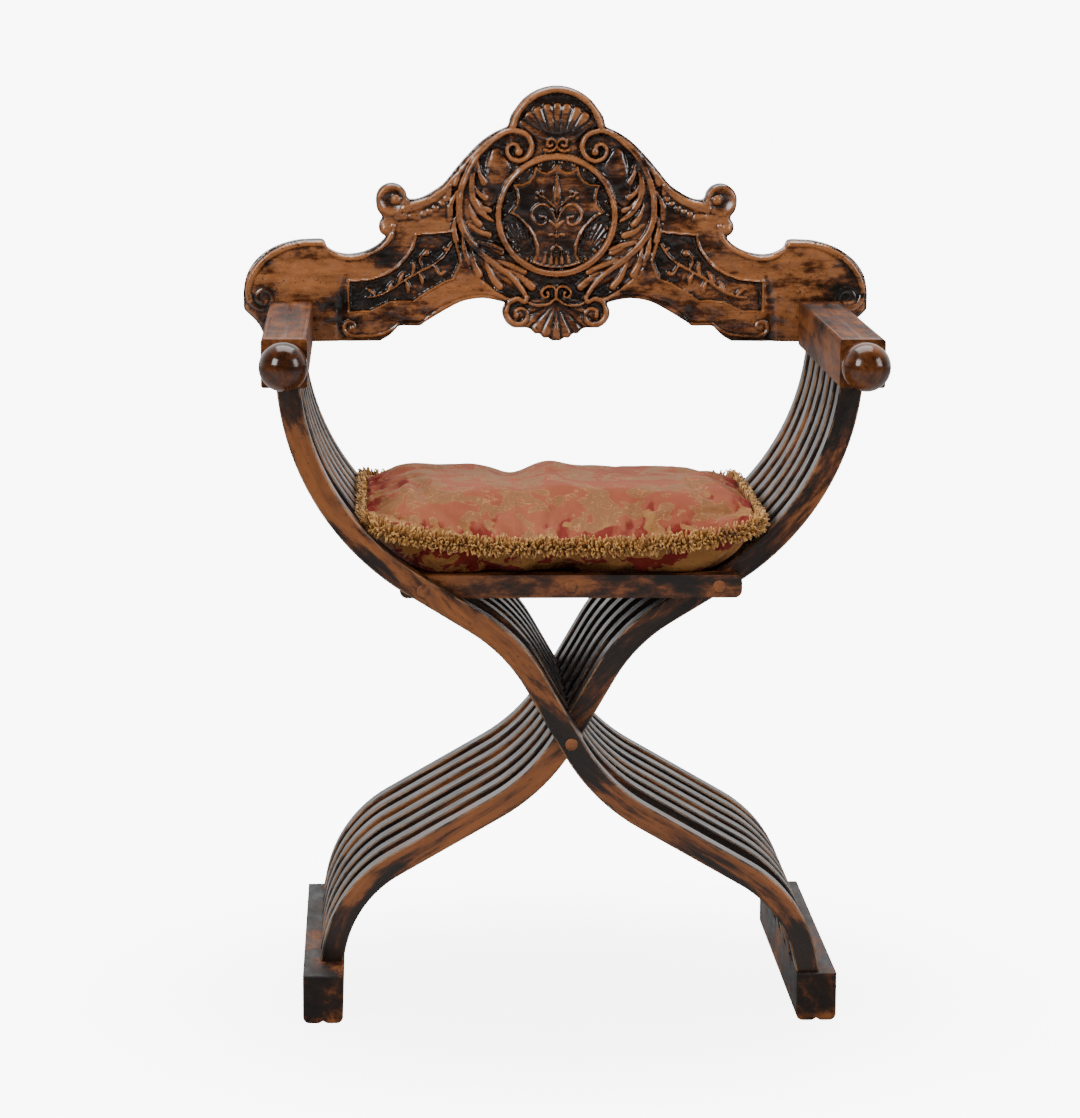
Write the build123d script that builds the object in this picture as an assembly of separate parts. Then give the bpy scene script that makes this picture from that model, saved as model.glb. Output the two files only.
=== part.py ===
from build123d import *
import math
import os

# Savonarola folding chair. Millimetres, +Z up, the sitter faces -Y, the floor is Z = 0.
# Seen from the front, left is -X. The left set of S-shaped slats carries the left arm and
# runs down to the right foot, the right set is its mirror image, and the two sets lie
# between each other like the fingers of folded hands.

# ---- Slats ----
slat_width = 24.0            # across the face that is seen from the front
slat_thickness = 25.0        # front to back
slat_gap = 1.0               # air between neighbouring layers
slats_per_side = 7
slat_arris = 1.6             # bevel worn along the long edges

# ---- Slat line seen from the front, from the arm down to the foot of the other side ----
arm_underside = 668.0
slat_top_inset = 3.7         # slat inwards of the arm's middle, where it enters the arm
elbow_inset = 21.7           # corner that the elbow bend rounds, inwards of the arm's middle
elbow_radius = 268.0
seat_height = 457.0          # axis of the seat dowels
seat_dowel_offset = 154.0    # from the centre line
shoulder_run = 121.0         # from the crossing up to the corner of the upper waist bend
shoulder_radius = 180.0
crossing_height = 295.0      # axis of the crossing dowel
waist_angle = 60.0           # slope of the slats where they cross
hip_run = 60.0               # from the crossing down to the corner of the lower waist bend
hip_radius = 200.0
knee_inset = 23.5            # inwards of the foot's middle
knee_height = 125.0
knee_radius = 130.0
slat_foot_inset = 8.5        # slat inwards of the foot's middle, where it enters the foot

# ---- Tenons ----
tenon_width = 14.0
tenon_thickness = 15.0
tenon_length = 18.0
tenon_clearance = 0.1

# ---- Dowels ----
dowel_diameter = 13.0
dowel_clearance = 0.09       # radial
dowel_proud = 0.8            # how far a dowel stands out of the outer faces

# ---- Seat ----
seat_slat_height = 24.0
rail_overhang = 24.0         # front rail beyond each seat dowel
rail_corner = 8.0
hook_clearance = 0.3         # between the rail's hook and the left seat dowel
hook_flare = 7.0             # how much the mouth of the hook widens towards the seat's centre

# ---- Arms ----
arm_offset = 295.7           # middle of an arm from the centre line
arm_width = 47.0
arm_height = 50.0
arm_front_overhang = 6.0     # beyond the first slat layer
arm_rear_overhang = 7.0
arm_edge = 3.0

# ---- Knobs on the front ends of the arms ----
knob_diameter = 50.0
collar_diameter = 46.0
collar_length = 9.0
collar_bevel = 3.0
knob_sink = 4.0              # how far the ball sits into its collar
spigot_diameter = 16.0
spigot_length = 10.0
glue_gap = 0.25              # radial, around the spigot

# ---- Feet ----
foot_offset = 258.5
foot_width = 42.0
foot_height = 51.0
foot_overhang = 7.5          # beyond the first and the last slat layer
foot_corner = 7.0
foot_edge = 2.0
foot_groove_width = 5.0
foot_groove_depth = 3.0

# ---- Back board ----
board_gap = 0.4              # between the arms' rear ends and the board
board_thickness = 24.0
board_rise = 5.0             # the board's lowest point above the arms' underside
relief_depth = 5.0
crest_height = 284.0         # top of the crest shell above the board's bottom
crest_radius = 54.0
lower_shell_radius = 39.0
lower_volute_offset = 41.0
lower_volute_height = 31.0
lower_volute_radius = 17.5
volute_offset = 184.0
volute_height = 158.0
volute_radius = 17.6
ear_reach = 53.6             # board beyond the centre of an arm
ear_spiral_radius = 12.0
medallion_height = 141.0     # centre of the medallion above the board's bottom
medallion_radius = 69.0
medallion_ring = 6.5
crest_flutes = 9
crest_fan = (20.0, 160.0)    # directions of the outer flutes, degrees from +X
lower_shell_flutes = 5
lower_shell_fan = (230.0, 310.0)
flute_width = 7.0

# ---- Sliding dovetail between the left arm and the board ----
dovetail_neck = 16.0
dovetail_root = 22.0
dovetail_depth = 10.0
dovetail_height = 36.0
dovetail_clearance = 0.3

# ---- Cushion, a stuffed cover sewn together all round ----
cushion_left = 214.0         # from the centre line to the seam
cushion_right = 200.0
cushion_front_gap = 8.0      # behind the front face of the first slat layer
cushion_depth = 362.0
cushion_corner = 30.0
cushion_clearance = 0.4      # above the seat
cushion_side_gap = 3.0       # beside the slats
seam_rise = 33.0             # of the seam's middle above the seat
seam_lift = 24.0             # of its ends, which the slats hold up
seam_thickness = 6.0
cushion_crown = 50.0         # of the top above the seam
cushion_belly = 52.0         # of the underside below it, flattened by the seat
cushion_rows = 13            # of points that each of the two covers passes through
cushion_cover_share = 1.12   # of a cover's size before it is trimmed to the seam
cushion_headroom = 150.0     # of the block that the covers are cut from
fringe_reach = 9.0           # outwards of the seam
fringe_height = 18.0
fringe_gap = 0.3

# ---- Places that follow from the sizes above ----
layer_pitch = slat_thickness + slat_gap
layer_count = 2 * slats_per_side + 1
stack_depth = layer_count * layer_pitch - slat_gap
arm_length = arm_front_overhang + stack_depth + arm_rear_overhang
foot_length = stack_depth + 2 * foot_overhang
knob_radius = knob_diameter / 2
knob_length = collar_length - knob_sink + knob_diameter
total_depth = knob_length + arm_length + board_gap + board_thickness
arm_front = knob_length - total_depth / 2
arm_rear = arm_front + arm_length
stack_front = arm_front + arm_front_overhang
board_front = arm_rear + board_gap
board_bottom = arm_underside + board_rise
slat_top_offset = arm_offset - slat_top_inset
elbow_offset = arm_offset - elbow_inset
knee_offset = foot_offset - knee_inset
slat_foot_offset = foot_offset - slat_foot_inset
seat_top = seat_height + seat_slat_height / 2
cushion_width = cushion_left + cushion_right
cushion_middle = (cushion_right - cushion_left) / 2
cushion_front = stack_front + cushion_front_gap
dowel_radius = dowel_diameter / 2
hole_radius = dowel_radius + dowel_clearance

# Layers from the front: slats of the left set and of the right set. The second layer holds
# only the front rail and the spacer at the crossing.
left_layers = [0] + list(range(3, layer_count, 2))
rail_layer = 1
right_layers = list(range(2, layer_count, 2))

crossing = (0.0, crossing_height)
left_seat = (-seat_dowel_offset, seat_height)
right_seat = (seat_dowel_offset, seat_height)
seat_centre = (0.0, seat_height)


def layer_front(layer):
    """Y of the front face of a layer."""
    return stack_front + layer * layer_pitch


def plate(profile, front, thickness):
    """Extrude a profile, drawn in X and Z, from its front face towards the back."""
    return extrude(Plane.XZ.offset(-front) * profile, thickness, dir=(0, 1, 0))


def rod(centre, radius, front, length):
    """A round bar along Y."""
    return plate(Pos(*centre) * Circle(radius), front, length)


def mirrored(shape):
    """The same piece on the other side of the centre line."""
    return mirror(shape, Plane.YZ)


def rounded_line(points, radii):
    """A chain of straight runs joined by arcs, which shrink where their runs are too short."""
    runs = [Vector(*after) - Vector(*before) for before, after in zip(points, points[1:])]
    halves = [math.radians(into.get_angle(out)) / 2 for into, out in zip(runs, runs[1:])]
    taken = [0.0] + [radius * math.tan(half) for radius, half in zip(radii, halves)] + [0.0]
    room = [min(1.0, 0.98 * run.length / (before + after))
            for run, before, after in zip(runs, taken, taken[1:])]
    limited = [radius * min(before, after) for radius, before, after in zip(radii, room, room[1:])]
    return FilletPolyline(*points, radius=limited)


# ---- Slats ----
def slat_corners():
    """Corners of the line of a slat of the left set, from inside the arm to inside the foot."""
    slope = math.radians(waist_angle)
    shoulder = (-shoulder_run * math.cos(slope), crossing_height + shoulder_run * math.sin(slope))
    hip = (hip_run * math.cos(slope), crossing_height - hip_run * math.sin(slope))
    fall = (seat_height - shoulder[1]) / (seat_dowel_offset + shoulder[0])
    elbow = (-elbow_offset, seat_height + fall * (elbow_offset - seat_dowel_offset))
    knee = (knee_offset, knee_height)
    top = Vector(-slat_top_offset, arm_underside)
    bottom = Vector(slat_foot_offset, foot_height)
    beyond_top = top + (top - Vector(*elbow)).normalized() * slat_width
    beyond_bottom = bottom + (bottom - Vector(*knee)).normalized() * slat_width
    return [(beyond_top.X, beyond_top.Y), elbow, shoulder, hip, knee,
            (beyond_bottom.X, beyond_bottom.Y)]


def slat_strip(width):
    """The band along the line of a slat of the left set."""
    line = rounded_line(slat_corners(), [elbow_radius, shoulder_radius, hip_radius, knee_radius])
    return Sketch() + trace(line, width).face()


def slat_profile():
    """Face of a slat of the left set, cut off level with the arm's underside and the foot."""
    between = Pos(0, (arm_underside + foot_height) / 2) * Rectangle(
        4 * arm_offset, arm_underside - foot_height)
    return slat_strip(slat_width) & between


def tenon(offset, height, direction, layer, clearance=0.0):
    """Tenon of a slat, or with a clearance the mortise that takes it."""
    length = tenon_length + clearance
    middle = (offset, layer_front(layer) + slat_thickness / 2, height + direction * length / 2)
    return Pos(*middle) * Box(tenon_width + 2 * clearance, tenon_thickness + 2 * clearance, length)


def slat(profile, layer):
    """One slat of the left set, with its tenons and its two dowel holes."""
    body = plate(profile, layer_front(layer), slat_thickness)
    faces = body.faces().sort_by(Axis.Y)
    long_edges = (faces[0].edges() + faces[-1].edges()).filter_by(Axis.X, reverse=True)
    body = chamfer(long_edges, slat_arris)
    body += tenon(-slat_top_offset, arm_underside, 1, layer)
    body += tenon(slat_foot_offset, foot_height, -1, layer)
    for axis_point in (crossing, left_seat):
        body -= rod(axis_point, hole_radius, layer_front(layer), slat_thickness)
    return body


def crossing_spacer(profile):
    """Fills the second layer where the first slats of both sets cross."""
    slab = plate(profile, layer_front(rail_layer), slat_thickness)
    hole = rod(crossing, hole_radius, layer_front(rail_layer), slat_thickness)
    return (slab & mirrored(slab)) - hole


# ---- Dowels ----
def through_dowel(centre, first_layer):
    """A dowel from the front of a layer to the back of the last one, proud at both ends."""
    front = layer_front(first_layer) - dowel_proud
    back = layer_front(layer_count - 1) + slat_thickness + dowel_proud
    dowel = rod(centre, dowel_radius, front, back - front)
    return chamfer(dowel.edges().filter_by(GeomType.CIRCLE), dowel_proud)


def centre_dowels():
    """The seat's centre dowel, in the lengths that the front rail and the right slats hold."""
    rail_length = dowel_proud + slat_thickness
    first = rod(seat_centre, dowel_radius, layer_front(rail_layer) - dowel_proud, rail_length)
    first = chamfer(first.edges().filter_by(GeomType.CIRCLE).sort_by(Axis.Y)[0], dowel_proud)
    rest = [rod(seat_centre, dowel_radius, layer_front(layer), slat_thickness)
            for layer in left_layers[1:]]
    return Compound([first.solid()] + [piece.solid() for piece in rest])


# ---- Seat ----
def seat_slat(end, layer):
    """Half-length seat slat from the seat's centre to a seat dowel, rounded about both."""
    length = seat_dowel_offset
    bar = Pos(end[0] / 2, end[1]) * SlotCenterToCenter(length, seat_slat_height)
    body = plate(bar, layer_front(layer), slat_thickness)
    for axis_point in (end, seat_centre):
        body -= rod(axis_point, hole_radius, layer_front(layer), slat_thickness)
    return body


def front_rail():
    """Full-length rail of the right seat half; its hook rests on the left seat dowel."""
    length = 2 * (seat_dowel_offset + rail_overhang)
    bar = Pos(*seat_centre) * RectangleRounded(length, seat_slat_height, rail_corner)
    hook_radius = dowel_radius + hook_clearance
    mouth = -seat_slat_height / 2
    hook = Polygon((-hook_radius, 0), (-hook_radius, mouth), (hook_radius + hook_flare, mouth),
                   (hook_radius, 0), align=None)
    bar -= Pos(*left_seat) * (hook + Circle(hook_radius))
    body = plate(bar, layer_front(rail_layer), slat_thickness)
    for axis_point in (seat_centre, right_seat):
        body -= rod(axis_point, hole_radius, layer_front(rail_layer), slat_thickness)
    return body


# ---- Arms, knobs and feet ----
def arm_beam(offset, top_offset, layers):
    """An arm with the mortises of its slats and the hole of its knob."""
    middle = (offset, (arm_front + arm_rear) / 2, arm_underside + arm_height / 2)
    beam = Pos(*middle) * Box(arm_width, arm_length, arm_height)
    beam = fillet(beam.edges().filter_by(Axis.Y), arm_edge)
    for layer in layers:
        beam -= tenon(top_offset, arm_underside, 1, layer, tenon_clearance)
    return beam - rod((offset, arm_underside + arm_height / 2), spigot_diameter / 2 + glue_gap,
                      arm_front, spigot_length + glue_gap)


def dovetail(clearance=0.0):
    """Tongue on the board's front face, or with a clearance the groove in the left arm."""
    neck = dovetail_neck / 2 + clearance
    root = dovetail_root / 2 + clearance
    plan = Polygon((-neck, 0), (-root, -dovetail_depth - clearance),
                   (root, -dovetail_depth - clearance), (neck, 0), align=None)
    height = dovetail_height + 2 * clearance
    foot = arm_underside + arm_height - dovetail_height - clearance
    return Pos(-arm_offset, board_front, foot) * extrude(plan, height)


def knob(offset):
    """Turned ball with a moulded collar and the spigot that is glued into the arm."""
    ball_centre = collar_length - knob_sink + knob_radius
    ball = Pos(0, 0, ball_centre) * Sphere(knob_radius)
    collar = Cylinder(collar_diameter / 2, collar_length, align=(Align.CENTER, Align.CENTER, Align.MIN))
    collar = chamfer(collar.edges().filter_by(GeomType.CIRCLE), collar_bevel)
    spigot = Cylinder(spigot_diameter / 2, spigot_length, align=(Align.CENTER, Align.CENTER, Align.MAX))
    turned = Rot(90, 0, 0) * (ball + collar + spigot)
    return Pos(offset, arm_front, arm_underside + arm_height / 2) * turned


def foot(offset, slat_offset, layers):
    """A runner foot with rounded lower edges and a groove under its middle."""
    section = Pos(0, foot_height / 2) * Rectangle(foot_width, foot_height)
    section = fillet(section.vertices().group_by(Axis.Y)[0], foot_corner)
    groove = Polygon((-foot_groove_width, 0), (0, foot_groove_depth), (foot_groove_width, 0),
                     align=None)
    block = plate(Pos(offset, 0) * (section - groove), stack_front - foot_overhang, foot_length)
    ends = block.edges().filter_by(Axis.Z)
    top_ends = block.faces().sort_by(Axis.Z)[-1].edges().filter_by(Axis.X)
    block = fillet(ends + top_ends, foot_edge)
    for layer in layers:
        block -= tenon(slat_offset, foot_height, -1, layer, tenon_clearance)
    return block


# ---- Back board ----
def board_half_outline():
    """Right half of the plank's outline; heights are above the board's bottom."""
    ear = arm_offset
    with BuildSketch() as half:
        with BuildLine():
            Polyline((0, 46), (50, 43))
            ThreePointArc((50, 43), (90, 47), (141, 27))
            Polyline((141, 27), (153, 17), (175, 17))
            ThreePointArc((175, 17), (184, 7), (200, 0))
            Line((200, 0), (ear + 29, 0))
            ThreePointArc((ear + 29, 0), (ear + 39, 20), (ear + ear_reach, 34))
            Line((ear + ear_reach, 34), (ear + ear_reach, 69))
            ThreePointArc((ear + ear_reach, 69), (ear + 34, 97), (ear - 7, 112))
            Polyline((ear - 7, 112), (ear - 25, 113), (ear - 32, 111))
            ThreePointArc((ear - 32, 111), (ear - 67, 97), (ear - 103, 118))
            Line((ear - 103, 118), (volute_offset + 14, 129))
            Line((volute_offset + 14, 129), (volute_offset, volute_height))
            Line((volute_offset, volute_height), (166, 157))
            Spline((166, 157), (144, 163), (126, 174), (97, 209), (70, 233), (50, 239))
            Polyline((50, 239), (0, 239), (0, 46))
        make_face()
    return half.sketch


def board_outline():
    """The whole plank: both halves with the volutes and the two shells."""
    half = board_half_outline()
    half += Pos(volute_offset, volute_height) * Circle(volute_radius)
    half += Pos(lower_volute_offset, lower_volute_height) * Circle(lower_volute_radius)
    whole = half + mirror(half, Plane.YZ)
    whole += Pos(0, crest_height - crest_radius) * Circle(crest_radius)
    whole += Pos(0, lower_shell_radius) * Circle(lower_shell_radius)
    return whole


def ring_groove(x, z, outer, width):
    """Groove around a boss, as at the eye of a volute."""
    return Pos(x, z) * (Circle(outer) - Circle(outer - width))


def flute_fan(x, z, inner, outer, count, spread):
    """Tapered flutes that spread from a shell's root."""
    fan = Sketch()
    for index in range(count):
        angle = spread[0] + (spread[1] - spread[0]) * index / (count - 1)
        flute = Polygon((inner, -flute_width / 6), (outer, -flute_width / 2),
                        (outer, flute_width / 2), (inner, flute_width / 6), align=None)
        fan += Pos(x, z) * (Rot(0, 0, angle) * flute)
    return fan


def side_panel():
    """Sunk ground of the right side panel."""
    ear = arm_offset
    corners = [(ear - 63, 67), (ear - 63, 33), (ear - 86, 33), (186, 44), (160, 45), (141, 57),
               (116, 69), (116, 123), (157, 119), (160, 104), (177, 83)]
    return Polygon(*corners, align=None)


def board_relief():
    """Everything that is sunk into the board's front face."""
    sunk = side_panel()
    sunk += ring_groove(volute_offset, volute_height, volute_radius - 4, 3.5)
    sunk += ring_groove(lower_volute_offset, lower_volute_height, lower_volute_radius - 4, 3.5)
    sunk += ring_groove(arm_offset + ear_reach - 20, 51, ear_spiral_radius, 3.5)
    sunk += mirror(sunk, Plane.YZ)
    sunk += Pos(0, medallion_height) * Circle(medallion_radius - medallion_ring)
    sunk += ring_groove(0, medallion_height, medallion_radius + 4, 4)
    crest_root = crest_height - 1.3 * crest_radius
    sunk += flute_fan(0, crest_root, 12, crest_radius * 1.15, crest_flutes, crest_fan)
    sunk += flute_fan(0, lower_shell_radius + 4, 8, lower_shell_radius - 3, lower_shell_flutes,
                      lower_shell_fan)
    return sunk


def back_board():
    """Carved board that slides down onto the left arm by a dovetail."""
    lift = Pos(0, board_bottom)
    board = plate(lift * board_outline(), board_front, board_thickness)
    board -= plate(lift * board_relief(), board_front, relief_depth)
    return board + dovetail()


# ---- Cushion ----
def seam_height(across):
    """Height of the seam, at a share of the way from its middle to its ends."""
    return seat_top + cushion_clearance + seam_rise + seam_lift * abs(across) ** 3


def cushion_surface(bulge):
    """Cover that bulges from the seam by the given height, wider than the cushion itself."""
    shares = [cushion_cover_share * (2 * row / (cushion_rows - 1) - 1) for row in range(cushion_rows)]
    return Face.make_surface_from_array_of_points([
        [Vector(cushion_middle + cushion_width / 2 * across,
                cushion_front + cushion_depth / 2 * (1 + along),
                seam_height(across) + bulge * (1 - across ** 4) * (1 - along ** 4))
         for along in shares] for across in shares])


def cushion_block(reach, low, high):
    """Upright block with the cushion's plan, larger all round by the reach."""
    plan = RectangleRounded(cushion_width + 2 * reach, cushion_depth + 2 * reach,
                            cushion_corner + reach)
    middle = (cushion_middle, cushion_front + cushion_depth / 2, low)
    return extrude(Pos(*middle) * plan, high - low)


def beside_cushion():
    """Room that the two slat sets and the air beside them take."""
    strip = plate(slat_strip(slat_width + 2 * cushion_side_gap), stack_front, stack_depth)
    return [strip, mirrored(strip)]


def cushion():
    """Loose cushion: a plump cover above and below the seam, flat where it rests on the seat."""
    sole = seat_top + cushion_clearance
    body = cushion_block(0, sole, sole + cushion_headroom)
    above = extrude(Pos(0, 0, seam_thickness / 2) * cushion_surface(cushion_crown),
                    cushion_headroom, dir=(0, 0, 1))
    below = extrude(Pos(0, 0, -seam_thickness / 2) * cushion_surface(-cushion_belly),
                    cushion_headroom, dir=(0, 0, -1))
    return (body - above - below - beside_cushion()).solids().sort_by(SortBy.VOLUME)[-1]


def cushion_fringe():
    """Thick fringe that hides the seam all round."""
    sole = seat_top + cushion_clearance
    ring = cushion_block(fringe_reach, sole, sole + cushion_headroom)
    ring -= cushion_block(fringe_gap, sole, sole + cushion_headroom)
    above = extrude(Pos(0, 0, fringe_height / 2) * cushion_surface(0),
                    cushion_headroom, dir=(0, 0, 1))
    below = extrude(Pos(0, 0, -fringe_height / 2) * cushion_surface(0),
                    cushion_headroom, dir=(0, 0, -1))
    return (ring - above - below - beside_cushion()).solids().sort_by(SortBy.VOLUME)[-1]


# ---- All nodes ----
profile = slat_profile()
nodes = {}
for number, layer in enumerate(left_layers, start=1):
    nodes[f"left_slat_{number}"] = slat(profile, layer)
for number, layer in enumerate(right_layers, start=1):
    nodes[f"right_slat_{number}"] = mirrored(slat(profile, layer))
    nodes[f"left_seat_slat_{number}"] = seat_slat(left_seat, layer)
for number, layer in enumerate(left_layers[1:], start=1):
    nodes[f"right_seat_slat_{number}"] = seat_slat(right_seat, layer)

nodes["front_seat_rail"] = front_rail()
nodes["crossing_spacer"] = crossing_spacer(profile)
nodes["crossing_dowel"] = through_dowel(crossing, 0)
nodes["left_seat_dowel"] = through_dowel(left_seat, 0)
nodes["right_seat_dowel"] = through_dowel(right_seat, rail_layer)
nodes["centre_seat_dowel"] = centre_dowels()
nodes["left_arm"] = arm_beam(-arm_offset, -slat_top_offset, left_layers) - dovetail(dovetail_clearance)
nodes["right_arm"] = arm_beam(arm_offset, slat_top_offset, right_layers)
nodes["left_knob"] = knob(-arm_offset)
nodes["right_knob"] = knob(arm_offset)
nodes["right_foot"] = foot(foot_offset, slat_foot_offset, left_layers)
nodes["left_foot"] = foot(-foot_offset, -slat_foot_offset, right_layers)
nodes["back_board"] = back_board()
nodes["cushion"] = cushion()
nodes["cushion_fringe"] = cushion_fringe()

os.makedirs("parts", exist_ok=True)
for name, shape in nodes.items():
    export_step(shape, f"parts/{name}.step")
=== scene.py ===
# %% [markdown]
# # A savonarola chair, dressed for its picture
# The frame of this folding chair is packed already: slats, dowels, arms, feet and board
# are solids of the right size, and they move on their joints. This lesson gives them
# their looks: varnish and wear on the wood, the carving of the back board, the grooves
# on the arms, and a damask cushion with its fringe. Everything is in metres, X to the
# right, Y away from the sitter's front, Z up, and the floor is at zero.

# %% Load the frame
import math

import bpy
import numpy as np
from mathutils import Matrix, Vector, kdtree


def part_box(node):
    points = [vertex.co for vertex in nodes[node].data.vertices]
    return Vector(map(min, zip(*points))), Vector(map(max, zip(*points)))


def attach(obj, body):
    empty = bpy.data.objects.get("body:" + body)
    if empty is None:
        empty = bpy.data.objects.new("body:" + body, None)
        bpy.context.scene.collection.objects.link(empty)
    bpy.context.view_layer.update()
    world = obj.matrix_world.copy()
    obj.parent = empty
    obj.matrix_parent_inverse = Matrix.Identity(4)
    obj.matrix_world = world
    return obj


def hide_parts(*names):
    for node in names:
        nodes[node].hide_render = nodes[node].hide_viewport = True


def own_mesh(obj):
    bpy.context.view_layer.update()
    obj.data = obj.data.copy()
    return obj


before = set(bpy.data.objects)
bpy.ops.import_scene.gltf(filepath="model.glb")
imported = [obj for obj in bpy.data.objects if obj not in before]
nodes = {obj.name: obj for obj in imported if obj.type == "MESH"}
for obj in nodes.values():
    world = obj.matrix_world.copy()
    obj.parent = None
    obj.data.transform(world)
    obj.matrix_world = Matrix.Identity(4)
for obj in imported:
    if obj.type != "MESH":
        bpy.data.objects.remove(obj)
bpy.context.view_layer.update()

MM = 0.001

# %% [markdown]
# ## Camera
# A chair is drawn best with a long lens from well away, so that its near and far feet
# differ little in size. This one is 4.2 m in front, a little left of the middle and a
# little above the crest, and looks slightly down.


# %% Camera
def aim(position, yaw, pitch, roll):
    """World matrix of a camera that looks along +Y when all three angles are zero."""
    ahead = Vector((math.sin(yaw) * math.cos(pitch), math.cos(yaw) * math.cos(pitch), -math.sin(pitch)))
    right = Vector((math.cos(yaw), -math.sin(yaw), 0))
    up = right.cross(ahead)
    level = Matrix((right, up, -ahead)).transposed()
    return Matrix.Translation(position) @ (level @ Matrix.Rotation(roll, 3, "Z")).to_4x4()


def placed(name, data):
    """A new object in the scene."""
    made = bpy.data.objects.new(name, data)
    bpy.context.scene.collection.objects.link(made)
    return made


camera = placed("camera", bpy.data.cameras.new("camera"))
camera.matrix_world = aim(Vector((-0.2053, -4.2238, 1.1499)), yaw=0.0424, pitch=0.1615, roll=0.0049)
camera.data.sensor_width = 36.0
camera.data.lens = 128.3
camera.data.clip_end = 60.0
bpy.context.scene.camera = camera
print("camera", [round(x, 3) for x in camera.location], "lens", camera.data.lens)

# %% [markdown]
# ## Floor and light
# Antique wood shows its form by reflections. A pale floor and pale surroundings give the
# light streaks on the varnished inner edges, and large lamps give soft shading. The side
# that faces the sitter is kept darker, so that dark wood stays dark there.


# %% Small helper for shader nodes
def shader(tree, kind, inputs=None, **settings):
    """Adds a shader node. An input is a value, or an output socket that is linked to it."""
    made = tree.nodes.new("ShaderNode" + kind)
    for name, value in settings.items():
        setattr(made, name, value)
    for name, value in (inputs or {}).items():
        if isinstance(value, bpy.types.NodeSocket):
            tree.links.new(value, made.inputs[name])
        else:
            made.inputs[name].default_value = value
    return made


def new_paint(name):
    """A new material, its node tree and its surface shader."""
    paint = bpy.data.materials.new(name)
    paint.use_nodes = True
    return paint, paint.node_tree, paint.node_tree.nodes["Principled BSDF"]


def ramp(tree, value, stops):
    """Colour of a value: stops are (position, colour) or (position, grey level) pairs."""
    made = shader(tree, "ValToRGB", {"Fac": value})
    elements = made.color_ramp.elements
    while len(elements) < len(stops):
        elements.new(0.5)
    for element, (place, colour) in zip(elements, stops):
        element.position = place
        element.color = (*colour, 1.0) if isinstance(colour, tuple) else (colour, colour, colour, 1.0)
    return made.outputs["Color"]


def spread(tree, value, source, target, curve="LINEAR"):
    """Takes a value from one range to another, and no farther than its ends."""
    made = shader(tree, "MapRange", {"Value": value, "From Min": source[0], "From Max": source[1],
                                     "To Min": target[0], "To Max": target[1]}, interpolation_type=curve)
    return made.outputs["Result"]


def math_node(tree, operation, first, second=0.0):
    return shader(tree, "Math", {0: first, 1: second}, operation=operation).outputs["Value"]


def weighted_sum(tree, *parts):
    """Sum of (value, weight) pairs."""
    total = None
    for value, weight in parts:
        part = math_node(tree, "MULTIPLY", value, weight)
        total = part if total is None else math_node(tree, "ADD", total, part)
    return total


def blend_colour(tree, share, first, second, mode="MIX"):
    first, second = (c if isinstance(c, bpy.types.NodeSocket) else (*c, 1.0) for c in (first, second))
    made = shader(tree, "Mix", {0: share, 6: first, 7: second}, data_type="RGBA", blend_type=mode)
    return made.outputs[2]


def finish_surface(tree, body, colour, roughness, height, strength, distance):
    """Links colour, roughness and fine relief to the surface shader."""
    tree.links.new(colour, body.inputs["Base Color"])
    tree.links.new(roughness, body.inputs["Roughness"])
    bump = shader(tree, "Bump", {"Strength": strength, "Distance": distance, "Height": height})
    tree.links.new(bump.outputs["Normal"], body.inputs["Normal"])


# %% World, lamps and floor
WHITE = (1.0, 1.0, 1.0, 1.0)
FLOOR_WHITE, FLOOR_ROUGHNESS = 0.42, 0.45
SURROUND_FRONT, SURROUND_BACK, BACKDROP = 0.10, 1.5, 9.0
GLOW_IN_PAINTED_SHADOW, GLOW_FAR = 5.8, 8.3
world = bpy.data.worlds.new("studio")
bpy.context.scene.world = world
world.use_nodes = True
sky = world.node_tree
sky.nodes.clear()
direction = shader(sky, "TexCoord").outputs["Generated"]
across = shader(sky, "SeparateXYZ", {"Vector": direction})
toward_back = spread(sky, across.outputs["Y"], (-0.2, 0.85), (SURROUND_FRONT, SURROUND_BACK), "SMOOTHSTEP")
surround = shader(sky, "Background", {"Color": WHITE, "Strength": toward_back})
backdrop = shader(sky, "Background", {"Color": WHITE, "Strength": BACKDROP})
seen = shader(sky, "LightPath").outputs["Is Camera Ray"]
chosen = shader(sky, "MixShader", {0: seen, 1: surround.outputs[0], 2: backdrop.outputs[0]})
shader(sky, "OutputWorld", {"Surface": chosen.outputs[0]})


def lamp(name, place, target, width, height, watts):
    """A softbox that points at a target."""
    light = bpy.data.lights.new(name, "AREA")
    light.shape, light.size, light.size_y, light.energy = "RECTANGLE", width, height, watts
    box = placed(name, light)
    box.location = place
    box.rotation_euler = (Vector(target) - Vector(place)).to_track_quat("-Z", "Y").to_euler()


lamp("left_softbox", (-2.6, -2.6, 2.4), (0, 0, 0.55), 1.4, 1.8, 150)
lamp("right_softbox", (2.9, -1.6, 1.9), (0, 0, 0.5), 1.2, 1.8, 75)
lamp("top_softbox", (0.0, 0.6, 3.2), (0, 0, 0.4), 2.4, 2.0, 110)

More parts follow.
